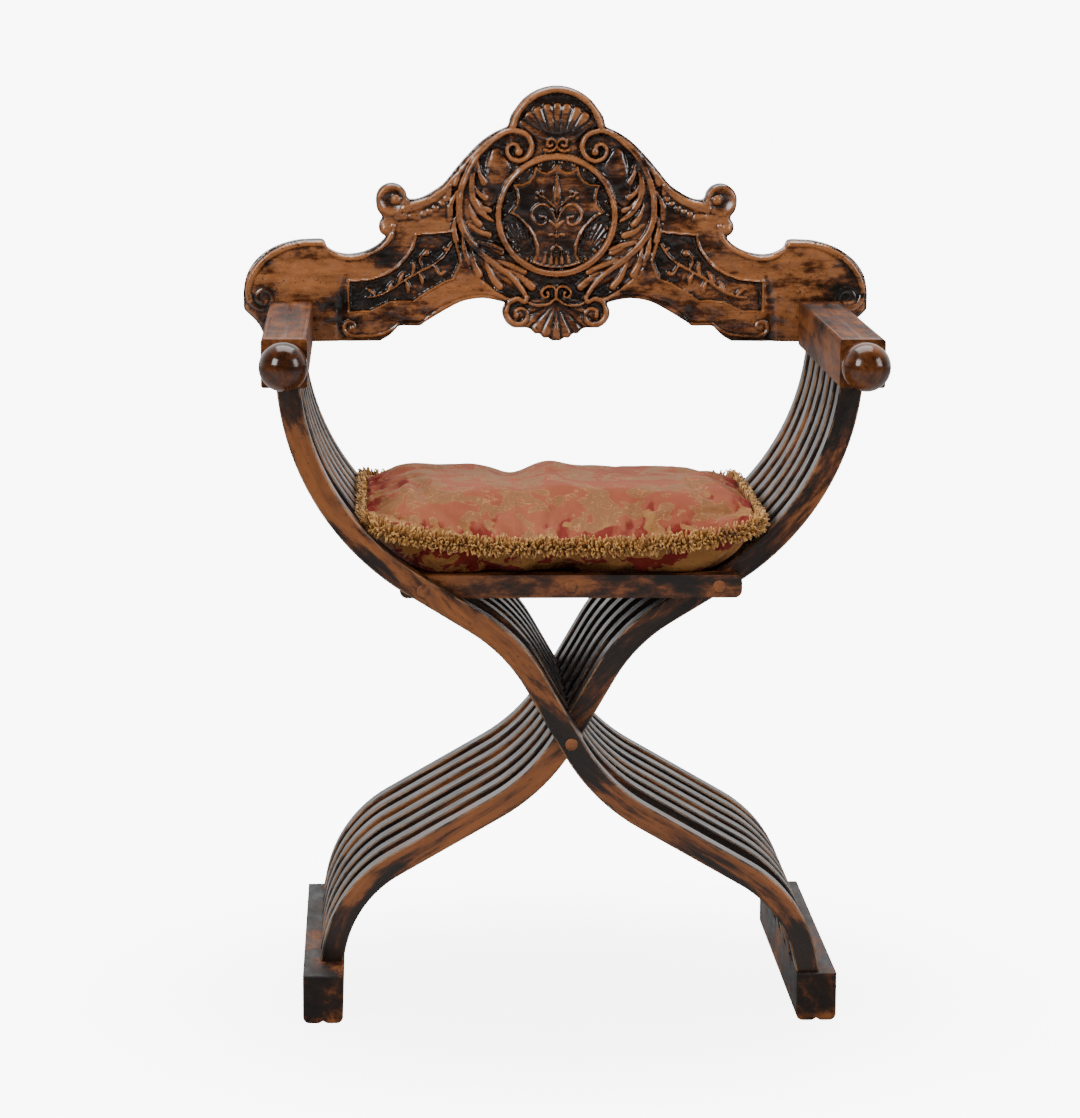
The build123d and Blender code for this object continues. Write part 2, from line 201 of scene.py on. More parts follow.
bpy.ops.mesh.primitive_plane_add(size=24, location=(0, 6, 0))
floor = bpy.context.object
floor.name = "floor"
floor_paint, floor_tree, floor_shader = new_paint("pale floor")
floor_shader.inputs["Base Color"].default_value = (FLOOR_WHITE, FLOOR_WHITE, FLOOR_WHITE, 1.0)
floor_shader.inputs["Roughness"].default_value = FLOOR_ROUGHNESS
floor_shader.inputs["Emission Color"].default_value = WHITE
looked_at = shader(floor_tree, "LightPath").outputs["Is Camera Ray"]
place = shader(floor_tree, "TexCoord").outputs["Object"]
# The floor glows less round a point under the chair: a painted shadow, not one that the lamps cast.
under = shader(floor_tree, "Mapping", {"Vector": place, "Location": (0.0, 9.4, 0.0),
                                       "Scale": (1.5, 1.55, 1.0)}).outputs[0]
away = shader(floor_tree, "VectorMath", {0: under}, operation="LENGTH").outputs["Value"]
shade = spread(floor_tree, away, (0.2, 1.0), (GLOW_IN_PAINTED_SHADOW, GLOW_FAR), "SMOOTHSTEP")
floor_glow_with_painted_shadow = math_node(floor_tree, "MULTIPLY", looked_at, shade)
floor_tree.links.new(floor_glow_with_painted_shadow, floor_shader.inputs["Emission Strength"])
floor.data.materials.append(floor_paint)
print("lamps and floor made")

# %% [markdown]
# ## The walnut
# The frame is walnut under a dark, shiny polish. Where hands and cloth have rubbed it,
# the polish is gone and the orange-brown wood shows; near joints and dowels it stayed
# almost black. A paint program would need a picture for this. Here noise patterns that
# live in object space do it, so they look the same from all sides.

# %% Colours of the wood
BLACK_POLISH = (0.0045, 0.0022, 0.0012)
DARK_WALNUT = (0.020, 0.0072, 0.0026)
RED_WALNUT = (0.072, 0.019, 0.0045)
WORN_WALNUT = (0.175, 0.056, 0.0135)
# Pale colour of the arris: wear, and a painted highlight along the edges.
WORN_AND_HIGHLIT_ARRIS = (0.30, 0.15, 0.065)


# %% Building blocks of the wood shader
def object_axes(tree):
    """Object coordinates and their three parts."""
    place = shader(tree, "TexCoord").outputs["Object"]
    parts = shader(tree, "SeparateXYZ", {"Vector": place})
    return place, parts.outputs["X"], parts.outputs["Y"], parts.outputs["Z"]


def noise(tree, vector, scale, detail=4.0, roughness=0.6, distortion=0.0):
    made = shader(tree, "TexNoise", {"Vector": vector, "Scale": scale, "Detail": detail,
                                     "Roughness": roughness, "Distortion": distortion})
    return made.outputs["Fac"]


def stretched(tree, vector, scale):
    return shader(tree, "Mapping", {"Vector": vector, "Scale": scale}).outputs["Vector"]


def level_curve(tree, value, points):
    """A smooth curve through (input, output) points, both from 0 to 1."""
    made = shader(tree, "FloatCurve", {"Value": value})
    curve = made.mapping.curves[0]
    while len(curve.points) < len(points):
        curve.points.new(0.5, 0.5)
    for point, (along, height) in zip(curve.points, points):
        point.location = (along, height)
    made.mapping.update()
    return made.outputs["Value"]


def facing(tree, axis):
    """How much of a surface's own normal lies along one axis, from -1 to 1."""
    normal = shader(tree, "TexCoord").outputs["Normal"]
    return shader(tree, "SeparateXYZ", {"Vector": normal}).outputs[axis]


# %% Where the wear is, along the height of the slats
SLAT_SPAN = 0.72
LEFT_WEAR = [
    (0.0, 0.0), (0.08, 0.12), (0.14, 0.32), (0.20, 0.54), (0.33, 0.58), (0.385, 0.24), (0.43, 0.26),
    (0.48, 0.58), (0.60, 0.62), (0.64, 0.46), (0.70, 0.56), (0.80, 0.62), (0.88, 0.28), (1.0, 0.0)]
RIGHT_WEAR = [
    (0.0, 0.0), (0.08, 0.12), (0.14, 0.34), (0.20, 0.58), (0.33, 0.60), (0.385, 0.30), (0.43, 0.14),
    (0.48, 0.24), (0.60, 0.32), (0.64, 0.36), (0.70, 0.46), (0.80, 0.56), (0.88, 0.30), (1.0, 0.0)]
SLAT_LINE = [
    (0.0, 0.917), (0.071, 0.917), (0.12, 0.905), (0.18, 0.86), (0.26, 0.73), (0.33, 0.605), (0.41, 0.50),
    (0.50, 0.405), (0.56, 0.335), (0.60, 0.275), (0.635, 0.243), (0.68, 0.19), (0.74, 0.12), (0.80, 0.075),
    (0.87, 0.04), (0.93, 0.013), (1.0, 0.0)]


def slat_grain(tree, side, wear_curve):
    """Coordinates that follow the S of a slat; side is 1 for the left set, -1 for the right."""
    place, x, y, z = object_axes(tree)
    share = math_node(tree, "DIVIDE", z, SLAT_SPAN)
    line = math_node(tree, "SUBTRACT", level_curve(tree, share, SLAT_LINE), 0.5)
    line = math_node(tree, "MULTIPLY", line, 0.60 * side)
    away = math_node(tree, "SUBTRACT", x, line)
    bent = shader(tree, "CombineXYZ", {"X": away, "Y": y, "Z": z}).outputs["Vector"]
    return bent, level_curve(tree, share, wear_curve)


# %% The polish, its wear and its grain in one material
def walnut(name, run, wear_level, seed, bent_side=0, arris_axis=None, hollow_polish_and_shade=None, gloss=0.30,
           redness=0.8, patch=15.0, contrast=1.0, shine=0.5, worn_colour=WORN_WALNUT, scuff=0.0):
    """Polished walnut. run stretches the grain, wear_level is how far the polish is rubbed off."""
    paint, tree, body = new_paint(name)
    place, x, y, z = object_axes(tree)
    wear_line = None
    if bent_side:
        place, wear_line = slat_grain(tree, bent_side, LEFT_WEAR if bent_side > 0 else RIGHT_WEAR)
    place = shader(tree, "VectorMath", {0: place, 1: (seed, seed * 0.7, -seed)}, operation="ADD").outputs[0]
    grain = noise(tree, stretched(tree, place, run), 55.0, detail=6.0, roughness=0.7)
    along = tuple(max(share, 0.45) for share in run)
    clouds = noise(tree, stretched(tree, place, along), patch, detail=5.0, roughness=0.62, distortion=0.4)
    spots = noise(tree, stretched(tree, place, along), patch * 4.5, detail=4.0, roughness=0.7)

    wear = weighted_sum(tree, (clouds, 1.7 * contrast), (spots, 1.2 * contrast), (grain, 0.7 * contrast))
    wear = math_node(tree, "ADD", wear, wear_level - 1.8 * contrast)
    if wear_line is not None:
        front = spread(tree, math_node(tree, "ABSOLUTE", facing(tree, "Y")), (0.75, 0.98), (-0.30, 0.0))
        wear = math_node(tree, "ADD", wear, math_node(tree, "SUBTRACT", wear_line, 0.5))
        wear = math_node(tree, "ADD", wear, front)
    if scuff:
        wear = math_node(tree, "ADD", wear, spread(tree, z, (0.002, scuff), (0.30, 0.0)))
    # Recesses of the carving get less wear and stay dark: polish left in them, and painted shade. Ridges get
    # more wear: rubbing, and a painted highlight.
    if hollow_polish_and_shade is not None:
        depth = shader(tree, "Attribute", attribute_name=hollow_polish_and_shade).outputs["Fac"]
        wear = math_node(tree, "SUBTRACT", wear, math_node(tree, "MULTIPLY", depth, 0.42))

    polish = ramp(tree, clouds, [(0.35, BLACK_POLISH), (0.62, DARK_WALNUT)])
    reddish = tuple(a + (b - a) * redness for a, b in zip(DARK_WALNUT, RED_WALNUT))
    worn = ramp(tree, wear, [(0.32, DARK_WALNUT), (0.46, reddish), (0.62, worn_colour),
                             (0.90, tuple(1.35 * c for c in worn_colour))])
    rubbed = ramp(tree, wear, [(0.22, 0.0), (0.42, 1.0)])
    colour = blend_colour(tree, rubbed, polish, worn)
    fibres = ramp(tree, grain, [(0.30, 0.55), (0.55, 1.0)])
    colour = blend_colour(tree, 1.0, colour, fibres, "MULTIPLY")
    specks = ramp(tree, noise(tree, place, patch * 16, detail=3.0), [(0.30, 1.0), (0.38, 0.0)])
    colour = blend_colour(tree, math_node(tree, "MULTIPLY", specks, 0.75), colour, BLACK_POLISH)
    # The arris faces are paled in patches: wear on the edges, and a painted highlight along them.
    if arris_axis is not None:
        edge = math_node(tree, "ABSOLUTE", facing(tree, arris_axis))
        edge = ramp(tree, edge, [(0.50, 0.0), (0.60, 1.0), (0.82, 1.0), (0.92, 0.0)])
        chafed_and_highlit = ramp(tree, spots, [(0.40, 0.0), (0.62, 0.75)])
        colour = blend_colour(tree, math_node(tree, "MULTIPLY", edge, chafed_and_highlit), colour, WORN_AND_HIGHLIT_ARRIS)

    dull = spread(tree, spots, (0.3, 0.7), (gloss - 0.06, gloss + 0.16))
    pores = math_node(tree, "ADD", math_node(tree, "MULTIPLY", grain, 0.6), spots)
    finish_surface(tree, body, colour, dull, pores, strength=0.22, distance=0.0009)
    body.inputs["Specular IOR Level"].default_value = shine
    return paint


def give(material, *names):
    """Puts a material on CAD nodes, in place of the plain one that came with the frame."""
    for name in names:
        for slot in nodes[name].material_slots:
            slot.material = material


ALONG_X, ALONG_Y, ALONG_Z = (0.10, 1.0, 1.0), (1.0, 0.10, 1.0), (1.0, 1.0, 0.08)

# %% [markdown]
# ## Which wood gets which finish
# The first slat of each side faces the sitter and hands rub it most, so it has bright worn
# stretches and a pale arris, which is wear with a painted highlight on it. The slats behind
# it are darker. One could paint each piece by itself, but here all share one recipe and
# differ by a few numbers, so that they look like boards of one tree and one workshop.

# %% Finishes of the slats
for side, bend, seed in (("left", 1, 0.0), ("right", -1, 1.7)):
    front_walnut = walnut(f"walnut of the {side} front slat", ALONG_Z, 0.50, seed, bent_side=bend,
                          arris_axis="Y", contrast=1.15)
    inner_walnut = walnut(f"walnut of the {side} inner slats", ALONG_Z, 0.28, seed + 0.9, bent_side=bend,
                          arris_axis="Y", gloss=0.34)
    slats = [name for name in nodes if name.startswith(f"{side}_slat_")]
    give(front_walnut, slats[0])
    give(inner_walnut, *slats[1:])
print("slats finished", len(slats), "on each side")

# %% [markdown]
# ## Seat, arms, feet and dowels
# Feet stand in dust and damp, so they stay dark and dull. Arms and knobs are polished by
# hands: their colour is even and they shine. The grain follows the length of each piece,
# and the lowest edges of the feet are scuffed down to the bare wood.

# %% Finishes of the seat, the arms, the feet and the dowels
rail_walnut = walnut("walnut of the seat", ALONG_X, 0.45, 0.6, gloss=0.36, arris_axis="Y")
foot_walnut = walnut("walnut of the feet", ALONG_Y, 0.33, 2.9, gloss=0.50, contrast=0.95, shine=0.28,
                     scuff=0.016)
arm_walnut = walnut("walnut of the arms", ALONG_Y, 0.50, 4.2, gloss=0.44, shine=0.16, redness=1.0,
                    contrast=0.55)
knob_walnut = walnut("turned walnut", ALONG_Y, 0.45, 5.1, gloss=0.12, shine=0.36, redness=0.9, patch=14.0,
                     contrast=0.3)
dowel_wood = walnut("dowel ends", ALONG_Y, 0.68, 3.3, contrast=0.6, gloss=0.40, patch=30.0)
seat_nodes = [name for name in nodes if "seat_slat" in name] + ["front_seat_rail", "crossing_spacer"]
give(rail_walnut, *seat_nodes)
give(foot_walnut, "left_foot", "right_foot")
give(arm_walnut, "left_arm", "right_arm")
give(knob_walnut, "left_knob", "right_knob")
give(dowel_wood, "crossing_dowel", "left_seat_dowel", "right_seat_dowel", "centre_seat_dowel")
carved_walnut = walnut("carved walnut", ALONG_X, 0.56, 6.4, gloss=0.20, contrast=0.95, hollow_polish_and_shade="hollow_polish_and_shade",
                       patch=16.0, shine=0.65, worn_colour=(0.240, 0.088, 0.028))
print("finishes given")


# %% [markdown]
# ## The carved back board
# The board of such a chair is a plank carved in relief: acanthus scrolls round a medallion
# with a shield and a fleur-de-lis, a shell above and one below, and a sprig in each sunk
# side panel. It could be sculpted with brushes, but a brush stroke can't be repeated or
# corrected. Here every stem, leaf and groove is a stroke, a line with a width, as a
# carver draws it on the wood. The strokes raise or sink a height map, and the height
# map moves the points of a fine grid. Only half is drawn, and the other half mirrors it.

# %% Drawing paper for one half of the board, in millimetres
STEP = 0.6
PAPER_WIDTH, PAPER_TOP, PAPER_FOOT = 354.0, 289.0, -3.0
ARM_MIDDLE, ARM_HALF, ARM_TOP = 295.7, 23.5, 45.0
SHADOW_REACH, THINNEST = 1.3, 0.7
U, V = np.meshgrid(np.arange(0.0, PAPER_WIDTH, STEP), np.arange(PAPER_FOOT, PAPER_TOP, STEP))
relief = np.zeros_like(U)          # 0 is the highest plane, and hollows are below it


def curve_through(stroke, spacing=0.5):
    """Close points along a smooth curve through the stroke's (u, v, half width)."""
    p = np.array(stroke, float)
    p = np.vstack([2 * p[0] - p[1], p, 2 * p[-1] - p[-2]]) if len(p) > 1 else np.vstack([p] * 4)
    made = [p[-2:-1]]
    for a, b, c, d in zip(p, p[1:], p[2:], p[3:]):
        count = max(2, int(np.hypot(*(c - b)[:2]) / spacing))
        t = np.linspace(0, 1, count, endpoint=False)[:, None]
        made.append(0.5 * (2 * b + (c - a) * t + (2 * a - 5 * b + 4 * c - d) * t ** 2
                           + (3 * b - a - 3 * c + d) * t ** 3))
    return np.vstack(made)


def swell(stroke):
    """1 along the middle of a stroke, falling to 0 at its edges and everywhere outside."""
    made = np.zeros_like(U)
    for u, v, half in curve_through(stroke):
        half = max(half, THINNEST)
        left, right = int((u - half) / STEP), int((u + half) / STEP) + 2
        low, high = int((v - half - PAPER_FOOT) / STEP), int((v + half - PAPER_FOOT) / STEP) + 2
        if right <= 0 or high <= 0:
            continue
        window = (slice(max(low, 0), high), slice(max(left, 0), right))
        rise = 1 - ((U[window] - u) ** 2 + (V[window] - v) ** 2) / half ** 2
        np.maximum(made[window], rise, out=made[window])
    return made


def raise_stroke(stroke, top, fall, shadow=1.2):
    """A rounded stem or leaf. fall is its drop to the edges; a cut sets it off from what it crosses."""
    if shadow:
        beside = [(u, v, half + SHADOW_REACH) for u, v, half in stroke]
        relief[:] -= shadow * np.minimum(1, 2 * swell(beside))
    shape = swell(stroke)
    np.maximum(relief, np.where(shape > 0, top - fall * (1 - np.sqrt(shape)), -99.0), out=relief)


def cut_stroke(stroke, depth):
    """A groove."""
    relief[:] -= depth * swell(stroke)


def inside(outline, u=None, v=None):
    """Which points lie inside a closed outline."""
    u, v = (U, V) if u is None else (u, v)
    p = np.array(outline, float)[:, :2]
    made = np.zeros(u.shape, bool)
    for (u0, v0), (u1, v1) in zip(p, np.roll(p, -1, axis=0)):
        if v0 != v1:
            made ^= ((v0 > v) != (v1 > v)) & (u < (u1 - u0) * (v - v0) / (v1 - v0) + u0)
    return made


def softened(field, reach):
    """The average over a small square, for smooth edges and for finding hollows."""
    size = max(1, int(round(reach / STEP)))
    for axis in (0, 1):
        padding = [(0, 0), (0, 0)]
        padding[axis] = (size, size + 1)
        total = np.cumsum(np.pad(field, padding, mode="edge"), axis=axis)
        span = 2 * size + 1
        field = (np.take(total, range(span, total.shape[axis]), axis=axis)
                 - np.take(total, range(total.shape[axis] - span), axis=axis)) / span
    return field


def sink(outline, level, edge=1.2):
    """Lowers everything inside an outline to a level, with slightly sloping sides."""
    share = softened(inside(outline).astype(float), edge)
    relief[:] = relief * (1 - share) + level * share


def arc(u, v, radius, start, end, half, count=13):
    """A stroke along part of a circle, angles in degrees."""
    angles = np.radians(np.linspace(start, end, count))
    return [(u + radius * math.cos(a), v + radius * math.sin(a), half) for a in angles]


print("paper", U.shape)

# %% Outline of the board's right half, from the middle of the lower edge round to the crest
outline = [
    (0, 0.5), (5, 0.5), (9, 3.5), (14, 3.5), (19, 8), (24, 8.5), (29, 13), (35, 15), (40, 14.6), (48, 15),
    (55, 19.5), (59.5, 27), (60, 34), (57.5, 41), (59.5, 43.6), (78, 47.6), (92, 47.2), (106, 44),
    (121, 36.6), (134, 29), (147, 21), (153.5, 17.2), (174, 17), (180, 12.5), (187, 6), (195, 1.6),
    (203, 0), (322.7, 0), (327, 7), (331, 16), (337, 24), (344, 30.5), (348.6, 36), (349.2, 44), (349, 58),
    (345, 75), (334, 91), (316, 103.6), (293, 111.2), (272, 113), (262, 112.8), (258.5, 110), (256, 104.5),
    (248.8, 99.8), (238.7, 96.7), (227, 96.6), (213.4, 99.6), (201.7, 105.4), (194, 112), (191, 116.5),
    (196, 120.5), (198.3, 126), (197.5, 132), (194.8, 138.5), (200, 147), (201.6, 158), (199.4, 166.6),
    (193, 173.2), (184, 175.6), (175, 173.2), (168.6, 166.6), (166, 159.4), (161, 157.6), (152, 159.2),
    (141, 164.6), (126, 175.4), (111, 193.6), (97, 209.5), (83, 223), (69.5, 232), (59.5, 236.6),
    (54.4, 240), (51.5, 250), (46, 258.5), (37.5, 269), (26, 277.3), (13, 282.4), (0, 284)]
whole_outline = outline + [(-u, v) for u, v in outline[-2:0:-1]]
edge_stroke = [(u, v, 2.4) for u, v in outline]

# %% Plain fields: wings, sunk panels and the ground of the middle
near_arm = np.hypot(np.maximum(np.abs(U - ARM_MIDDLE) - ARM_HALF - 3, 0), np.maximum(V - ARM_TOP - 3, 0))
relief[:] = -2.6 * np.clip(near_arm / 30, 0, 1) ** 1.5
relief[(U < 240) & (V < 60)] += 1.2
relief[:] = softened(relief, 5)
panel = [
    (232.7, 67), (232.7, 32.6), (209, 33.5), (186, 44.4), (160, 45), (153, 50), (141, 57.5), (128, 65),
    (116, 69.5), (108, 88), (113, 108), (116, 123), (136, 121), (157, 119.5), (158.5, 112), (161, 104),
    (168, 94), (178, 83), (191, 75), (207, 69.6)]
sink(panel, -7.0)
ground = [
    (0, 44), (26, 42), (44, 47), (58, 51), (72, 60), (86, 71), (99, 86), (109, 103), (116, 123), (121, 148),
    (127, 172), (97, 207), (69, 230), (50, 237), (0, 237)]
sink(ground, -7.0)
for stroke, depth in (([(240, -3, 7), (240, 25, 8), (239, 50, 7), (236, 72, 4)], 1.8),
                      ([(60, 47, 1), (78, 52.3, 1.2), (92, 52, 1.2), (107, 48.5, 1.2), (126, 41, 1.2),
                        (143, 30.6, 1.2), (153, 22.4, 1.2), (172, 22, 1.2)], 1.6)):
    cut_stroke(stroke, depth)
print("fields", relief.min())

# %% The crest shell: a fan of convex ribs that sinks under its rim
CREST_MIDDLE, CREST_RADIUS = 230.0, 54.0
FAN_FOOT, RIB_COUNT, FAN_HALF_ANGLE = 207.0, 9, 54.0
RIB_START, RIB_END = 22.0, 59.0


def rib_profile(share):
    """Height across one rib, for a share from 0 to 1 of the way from groove to groove."""
    return 1 - np.abs(2 * share - 1) ** 3


in_crest = (np.hypot(U, V - CREST_MIDDLE) < CREST_RADIUS - 5.5) & (V > 222)
relief[in_crest] = -7.6
fan_reach = np.hypot(U, V - FAN_FOOT)
fan_turn = np.degrees(np.arctan2(U, V - FAN_FOOT))
rib_share = np.mod((fan_turn + FAN_HALF_ANGLE) / (2 * FAN_HALF_ANGLE / RIB_COUNT), 1.0)
along_rib = np.clip((fan_reach - RIB_START) / (RIB_END - RIB_START), 0, 1)
rib_level = -4.6 + 2.8 * along_rib - 2.2 * along_rib ** 3
rib_level += (1.2 + 1.4 * along_rib) * (rib_profile(rib_share) - 1)
on_ribs = (fan_reach > RIB_START) & (fan_reach < RIB_END + 3.2 * rib_profile(rib_share) - 3.2)
on_ribs &= np.abs(fan_turn) < FAN_HALF_ANGLE
relief[:] = np.where(on_ribs & in_crest, rib_level, relief)
raise_stroke([(0, 225, 6.0), (14, 228, 6.0), (28, 235, 5.5), (40, 244, 3.5)], -3.4, 3.0, shadow=1.2)
raise_stroke(arc(0, CREST_MIDDLE, CREST_RADIUS - 3.4, 8, 90, 4.0), 0.0, 2.6)
cut_stroke(arc(0, CREST_MIDDLE, CREST_RADIUS - 5.8, 12, 90, 0.8), 1.0)
print("crest shell ribs", RIB_COUNT)

# %% The borders, and the scroll that runs from the top volute round to the lower one
wing_border = [
    (183, 129, 2.6), (186, 116.5, 3), (196, 106, 3.2), (210, 98.2, 3.2), (226, 93.4, 3.2), (242, 94.8, 3.2),
    (252.5, 101.6, 3.2), (259.5, 108.8, 3.2), (272.3, 109.6, 3.2), (289.5, 108.2, 3.3), (306.5, 102.8, 3.4),
    (324.5, 92.3, 3.5), (337.5, 77, 3.6), (343.5, 64, 3.5), (344.5, 52, 3.4), (340, 42, 3.3),
    (330.5, 37, 3.2), (321.5, 39.5, 3.0), (317.6, 47.5, 2.9), (320.5, 55.2, 2.8), (327.8, 57.6, 2.7),
    (334, 53.5, 2.6), (334.4, 47, 2.5), (329.5, 44, 3.0)]
shoulder_border = [
    (58, 233.4, 2.4), (70, 227.6, 2.8), (83, 218, 3), (96, 204.6, 3), (109, 189.2, 3), (123, 172.4, 3),
    (139, 160.6, 3), (151, 155.4, 3), (163, 153, 2.6)]
foot_scroll = [
    (176, 21, 1.2), (186, 12.6, 1.8), (200, 7.4, 2), (216, 6.2, 2.1), (230, 6.6, 2.2), (238, 12.6, 2.2),
    (236, 20.6, 2), (228.6, 22, 1.9), (225.6, 16.5, 1.7), (230, 14.6, 2.2)]
stem = [
    (43, 211.9, 3.6), (45.5, 219, 2.3), (52.5, 219.4, 2.3), (56.3, 213, 2.5), (52, 204.7, 2.7),
    (42.5, 201.7, 2.8), (33, 206.6, 3), (28.6, 218, 3), (33, 229, 3.1), (44, 234.4, 3.2), (56, 234.2, 3.2),
    (69, 227, 3.3), (81, 216.6, 3.5), (91, 205.6, 3.6), (98.6, 192, 3.8), (104.6, 178, 4),
    (108.6, 162.5, 4), (109.4, 146, 4), (106.6, 129, 4), (99, 115, 4), (86, 100.2, 3.8), (69, 86, 3.6),
    (52, 73.8, 3.4), (40.6, 60.7, 3.2), (33.6, 49, 3)]
for stroke in (wing_border, foot_scroll, shoulder_border):
    raise_stroke(stroke, -0.2, 2.2, shadow=0.8)
cut_stroke([(u, v, 0.9) for u, v, half in wing_border[:17]], 1.0)
for corner, after in zip(panel, panel[1:] + panel[:1]):
    raise_stroke([(*corner, 1.1), (*after, 1.1)], -0.4, 1.0, shadow=0)

# %% Leaves of the acanthus
raise_stroke([(98, 206, 3), (101, 188, 8), (103, 168, 11), (101, 146, 13), (95, 122, 14), (83, 101, 14),
              (66, 84, 12), (49, 71, 9), (38, 57, 4)], -3.2, 3.8, shadow=0)
raise_stroke([(68, 208, 8), (66, 192, 14), (70, 174, 14), (76, 158, 8)], -3.2, 3.6, shadow=0)
outer_leaves = [
    [(97, 208, 1.4), (108, 193, 3.2), (115, 177, 3.8)],
    [(112, 190, 1.2), (120, 176, 3), (122, 163, 3.8)],
    [(112, 168, 1.2), (119, 152, 3), (119.5, 138, 3.6)],
    [(111, 146, 1.2), (115, 128, 2.8), (112.6, 113, 3.4)],
    [(106, 120, 1.3), (103, 101, 3), (98, 87.5, 3.6)],
    [(97, 108, 1.3), (93, 88, 3.2), (87, 75, 4)],
    [(81, 93, 1.3), (73, 73, 3), (64, 61.5, 3.8)]]
inner_leaves = [
    [(89, 207, 1.2), (88, 191, 2.4), (81.5, 177.5, 3.6)],
    [(93, 176, 1.2), (88, 166, 2.2), (80.5, 160.6, 3.2)],
    [(90, 160, 1.2), (83.5, 150, 2.2), (75.5, 146.4, 3.0)],
    [(98, 152, 1.2), (93, 139, 2.6), (86.5, 131, 3.3)],
    [(98, 131, 1.2), (87, 122.5, 2.8), (76.5, 118.5, 3.4)],
    [(92, 112, 1.5), (76, 107.6, 3.2), (62.5, 100.6, 4.2)],
    [(71, 92, 1.2), (51, 84.4, 2.8), (36.5, 77.6, 3.2)],
    [(58, 81, 1.5), (41, 72, 3.4), (28, 61, 4.2)]]
inner_stem = [(86, 211, 1.5), (92.5, 195, 3.2), (95.6, 177, 3.8), (94, 161, 4), (87.5, 148, 3.8),
              (79, 139.6, 3), (71.6, 134.6, 1.8)]
for leaf in outer_leaves + inner_leaves:
    raise_stroke([(u, v, 1.18 * half) for u, v, half in leaf], -1.2, 3.0, shadow=0.9)
    cut_stroke([(u, v, 0.9) for u, v, half in leaf[:2]], 1.2)
raise_stroke(inner_stem, -1.0, 3.2)
cut_stroke([(u, v, 0.8) for u, v, half in inner_stem[1:6]], 1.0)
raise_stroke(stem, 0.0, 3.0, shadow=1.8)
cut_stroke([(u + 1.1, v, half * 0.28) for u, v, half in stem[9:22]], 1.5)
raise_stroke([(43, 211.9, 4.6)], 0.0, 3.4, shadow=0.6)
print("leaves", len(outer_leaves) + len(inner_leaves))

# %% The medallion: ring, shield, fleur-de-lis and the fluted corners
MEDALLION = (0.0, 141.0)
from_middle = np.hypot(U - MEDALLION[0], V - MEDALLION[1])
relief[from_middle < 64] = -7.0
for angle in range(20, 95, 7):
    a = math.radians(angle)
    cut_stroke([(27 + reach * math.cos(a), 89 + reach * math.sin(a), half)
                for reach, half in ((5, 0.8), (30, 1.3), (48, 1.9))], 1.7)
shield = [
    (0, 197), (4.6, 191), (11.3, 187.4), (18.5, 189), (23.8, 194), (26, 185.5), (31, 178.6), (39, 174.6),
    (48.4, 174.6), (45.4, 169), (43.8, 160), (45, 151), (51.4, 143.6), (46, 141.4), (38.8, 135.3),
    (31, 127), (26, 118), (22.5, 108), (22, 97), (26.5, 88.5), (14, 84.6), (0, 83)]
on_shield = inside(shield)
relief[on_shield] = (-3.0 - 0.9 * (from_middle / 55) ** 2)[on_shield]
for corner, after in zip(shield, shield[1:]):
    raise_stroke([(*corner, 1.3), (*after, 1.3)], -1.6, 1.4, shadow=0)
ring_beads = [arc(*MEDALLION, 59.3, a, a, 2.0, 1) for a in range(-84, 90, 14)]
fleur = [
    [(0, 188, 0.8), (0, 178, 2.4), (0, 168, 4.2), (0, 158, 4.8), (0, 150, 2.8), (0, 142, 1.6)],
    [(0, 131, 1.6), (4.7, 143, 1.5), (10.4, 151.2, 1.6), (19.5, 153.3, 1.7), (27, 147, 1.9),
     (27.6, 137.5, 1.9), (20, 131, 1.8), (13.4, 132.8, 1.5), (13.6, 139, 1.4), (18, 139.8, 2.0)],
    [(2, 150, 1.1), (9, 156, 1.2), (14.5, 161, 1.2), (20, 163, 1.2)],
    [(23.4, 160.5, 2.3)], [(21.6, 165.8, 2.3)], [(16.6, 167.4, 2.1)],
    [(0, 127, 2.2), (4, 132, 2.3), (7.6, 134.6, 1.4)], [(0, 130, 3.4)],
    [(0, 124, 1.3), (0, 104, 0.9)], [(0, 116, 0.8), (5, 120, 1.4), (8.4, 119, 1.7)],
    [(0, 109, 0.8), (4, 105, 1.1), (6.4, 101.6, 1.3)],
    [(0, 101, 1), (0, 92, 2.3), (0, 87, 2.5)], [(6.2, 100, 1), (6.5, 92, 2.1), (6.8, 88, 2.3)],
    [(12.4, 100, 1), (13.4, 93, 2), (14.4, 89, 2.1)]]
for stroke in fleur:
    raise_stroke(stroke, -0.9, 2.2, shadow=0.9)
cut_stroke([(0, 178, 0.7), (0, 168, 1.2), (0, 156, 0.8)], 1.1)
for bead in ring_beads:
    raise_stroke(bead, -3.6, 2.6, shadow=0)
raise_stroke(arc(*MEDALLION, 65.4, -90, 90, 3.7, 31), 0.0, 3.0)
cut_stroke(arc(*MEDALLION, 66.4, -90, 90, 1.1, 31), 1.7)
print("medallion", round(float(relief.min()), 2))

